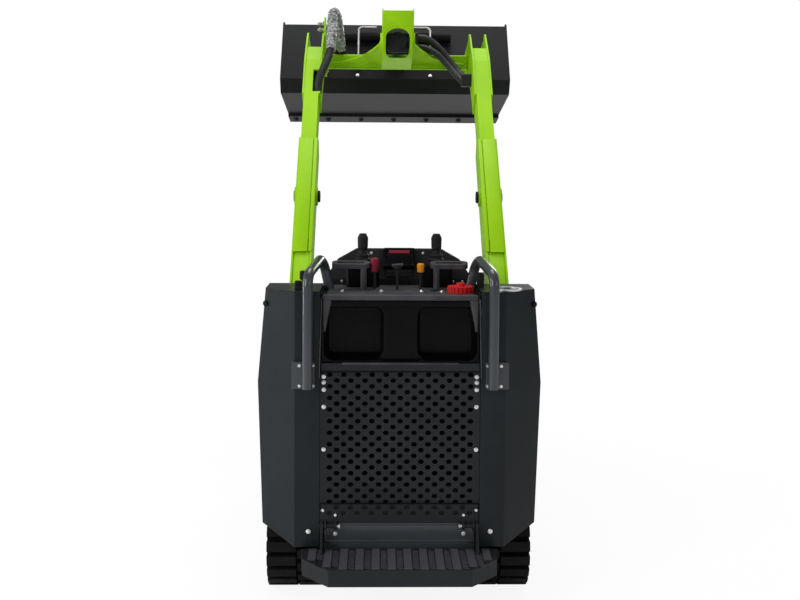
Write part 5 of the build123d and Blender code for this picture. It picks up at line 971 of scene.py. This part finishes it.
# The cross tube's four corners, ahead and in height, followed round at each arm and once across
tube_corners = [
    (CROSS_MIDDLE[0] + forward * CROSS_HALF, CROSS_MIDDLE[1] + up * CROSS_HALF)
    for forward, up in ((-1, -1), (-1, 1), (1, 1), (1, -1))]
cross_runs = [
    (spot(side * (ARM_INNER - WELD_INSET), *low), spot(side * (ARM_INNER - WELD_INSET), *high))
    for side in SIDES for low, high in zip(tube_corners, tube_corners[1:] + tube_corners[:1])]
cross_runs.append((spot(-320, *tube_corners[0]), spot(320, *tube_corners[0])))
weld("cross_tube_welds", "green_paint", "lift_arm", cross_runs)
hitch_run = (on_back(-HITCH_HALF, 2, 2), on_back(HITCH_HALF, 2, 2))
weld("hitch_plate_welds", "bucket_paint", "bucket", [hitch_run])


# The photograph's camera, fitted to the machine: standing behind it and looking a little down
CAMERA_BACK = 3.70
CAMERA_HEIGHT = 1.70
CAMERA_SIDE = -0.085
FOCAL_PIXELS = 1016.0
PITCH = 3.5
YAW = -1.23
ROLL = 0.4
CENTRE_ROW = 218.5
PICTURE = (800, 600)

camera_data = bpy.data.cameras.new("photo_camera")
camera = bpy.data.objects.new("photo_camera", camera_data)
bpy.context.scene.collection.objects.link(camera)
camera_data.sensor_width = 36.0
camera_data.lens = FOCAL_PIXELS / PICTURE[0] * camera_data.sensor_width
camera_data.shift_y = (CENTRE_ROW - PICTURE[1] / 2) / PICTURE[0]
camera.location = (CAMERA_SIDE, REAR - CAMERA_BACK, CAMERA_HEIGHT)
level_aim = Euler((math.radians(90 - PITCH), 0, math.radians(YAW))).to_matrix()
camera.rotation_euler = (level_aim @ Matrix.Rotation(math.radians(ROLL), 3, "Z")).to_euler()
bpy.context.scene.camera = camera


# Studio: a white floor that keeps a faint shadow, a white surround and soft lamps
FLOOR_SIZE = 60.0

activate()
bpy.ops.mesh.primitive_plane_add(size=FLOOR_SIZE, location=(0, 0, cad_low.z))
floor = bpy.context.object
floor.name = "studio_floor"
floor_paint, floor_tree, floor_shader, floor_place = new_finish(
    "white_studio_floor", {"Base Color": srgb("f4f4f4"), "Roughness": 0.9})
seen = add_node(floor_tree, "ShaderNodeLightPath")
glow = add_node(floor_tree, "ShaderNodeEmission", {"Color": (1, 1, 1, 1), "Strength": 1.0})
# The shadow is kept near the machine, and further out the floor meets the surround
away = add_node(floor_tree, "ShaderNodeVectorMath", None, {0: floor_place}, operation="LENGTH")
fade = add_node(
    floor_tree, "ShaderNodeMapRange", {"From Min": 1.0, "From Max": 3.0, "To Min": 0.9, "To Max": 1.0},
    {"Value": away.outputs["Value"]})
share = add_node(
    floor_tree, "ShaderNodeMath", None, {0: seen.outputs["Is Camera Ray"], 1: fade.outputs["Result"]},
    operation="MULTIPLY")
blend = add_node(floor_tree, "ShaderNodeMixShader", None, {
    0: share.outputs["Value"], 1: floor_shader.outputs["BSDF"], 2: glow.outputs["Emission"]})
floor_tree.links.new(blend.outputs["Shader"], floor_tree.nodes["Material Output"].inputs["Surface"])
floor.data.materials.append(floor_paint)

# The surround is white to the eye, dimmer as light on the machine and dimmest in its reflections
world = bpy.data.worlds.new("white_surround")
bpy.context.scene.world = world
world.use_nodes = True
world_tree = world.node_tree
surround = world_tree.nodes["Background"]
surround.inputs["Color"].default_value = (1, 1, 1, 1)
rays = add_node(world_tree, "ShaderNodeLightPath")
seen_white = add_node(world_tree, "ShaderNodeMath", None, {
    0: rays.outputs["Is Camera Ray"], 1: rays.outputs["Is Transmission Ray"]}, operation="MAXIMUM")
dimmed = add_node(
    world_tree, "ShaderNodeMapRange", {"To Min": 0.5, "To Max": 0.22},
    {"Value": rays.outputs["Is Glossy Ray"]})
level = add_node(
    world_tree, "ShaderNodeMath", None, {0: seen_white.outputs["Value"], 1: dimmed.outputs["Result"]},
    operation="MAXIMUM")
world_tree.links.new(level.outputs["Value"], surround.inputs["Strength"])

# Columns: name, place, what it faces, width, height, power in watts
LAMPS = (
    ("key_softbox", (-3.4, REAR - 2.6, 2.9), (0, 0, 1.2), 1.0, 2.6, 98),
    ("fill_softbox", (3.8, REAR - 3.0, 3.0), (0, 0, 1.0), 2.5, 2.0, 28),
    ("top_softbox", (0.0, 0.4, 5.4), (0, 0, 1.0), 3.0, 3.0, 120),
    ("edge_softbox", (-4.2, REAR + 0.5, 1.7), (0, REAR, 1.0), 0.35, 2.4, 60),
    ("front_softbox", (2.6, 4.6, 3.2), (0, 0.4, 0.9), 2.2, 2.2, 80),
)
for name, place, facing, width, height, power in LAMPS:
    lamp_data = bpy.data.lights.new(name, "AREA")
    lamp_data.shape = "RECTANGLE"
    lamp_data.size = width
    lamp_data.size_y = height
    lamp_data.energy = power
    lamp = bpy.data.objects.new(name, lamp_data)
    lamp.location = place
    lamp.rotation_euler = (Vector(facing) - Vector(place)).to_track_quat("-Z", "Y").to_euler()
    bpy.context.scene.collection.objects.link(lamp)

bpy.context.scene.view_settings.view_transform = "Standard"
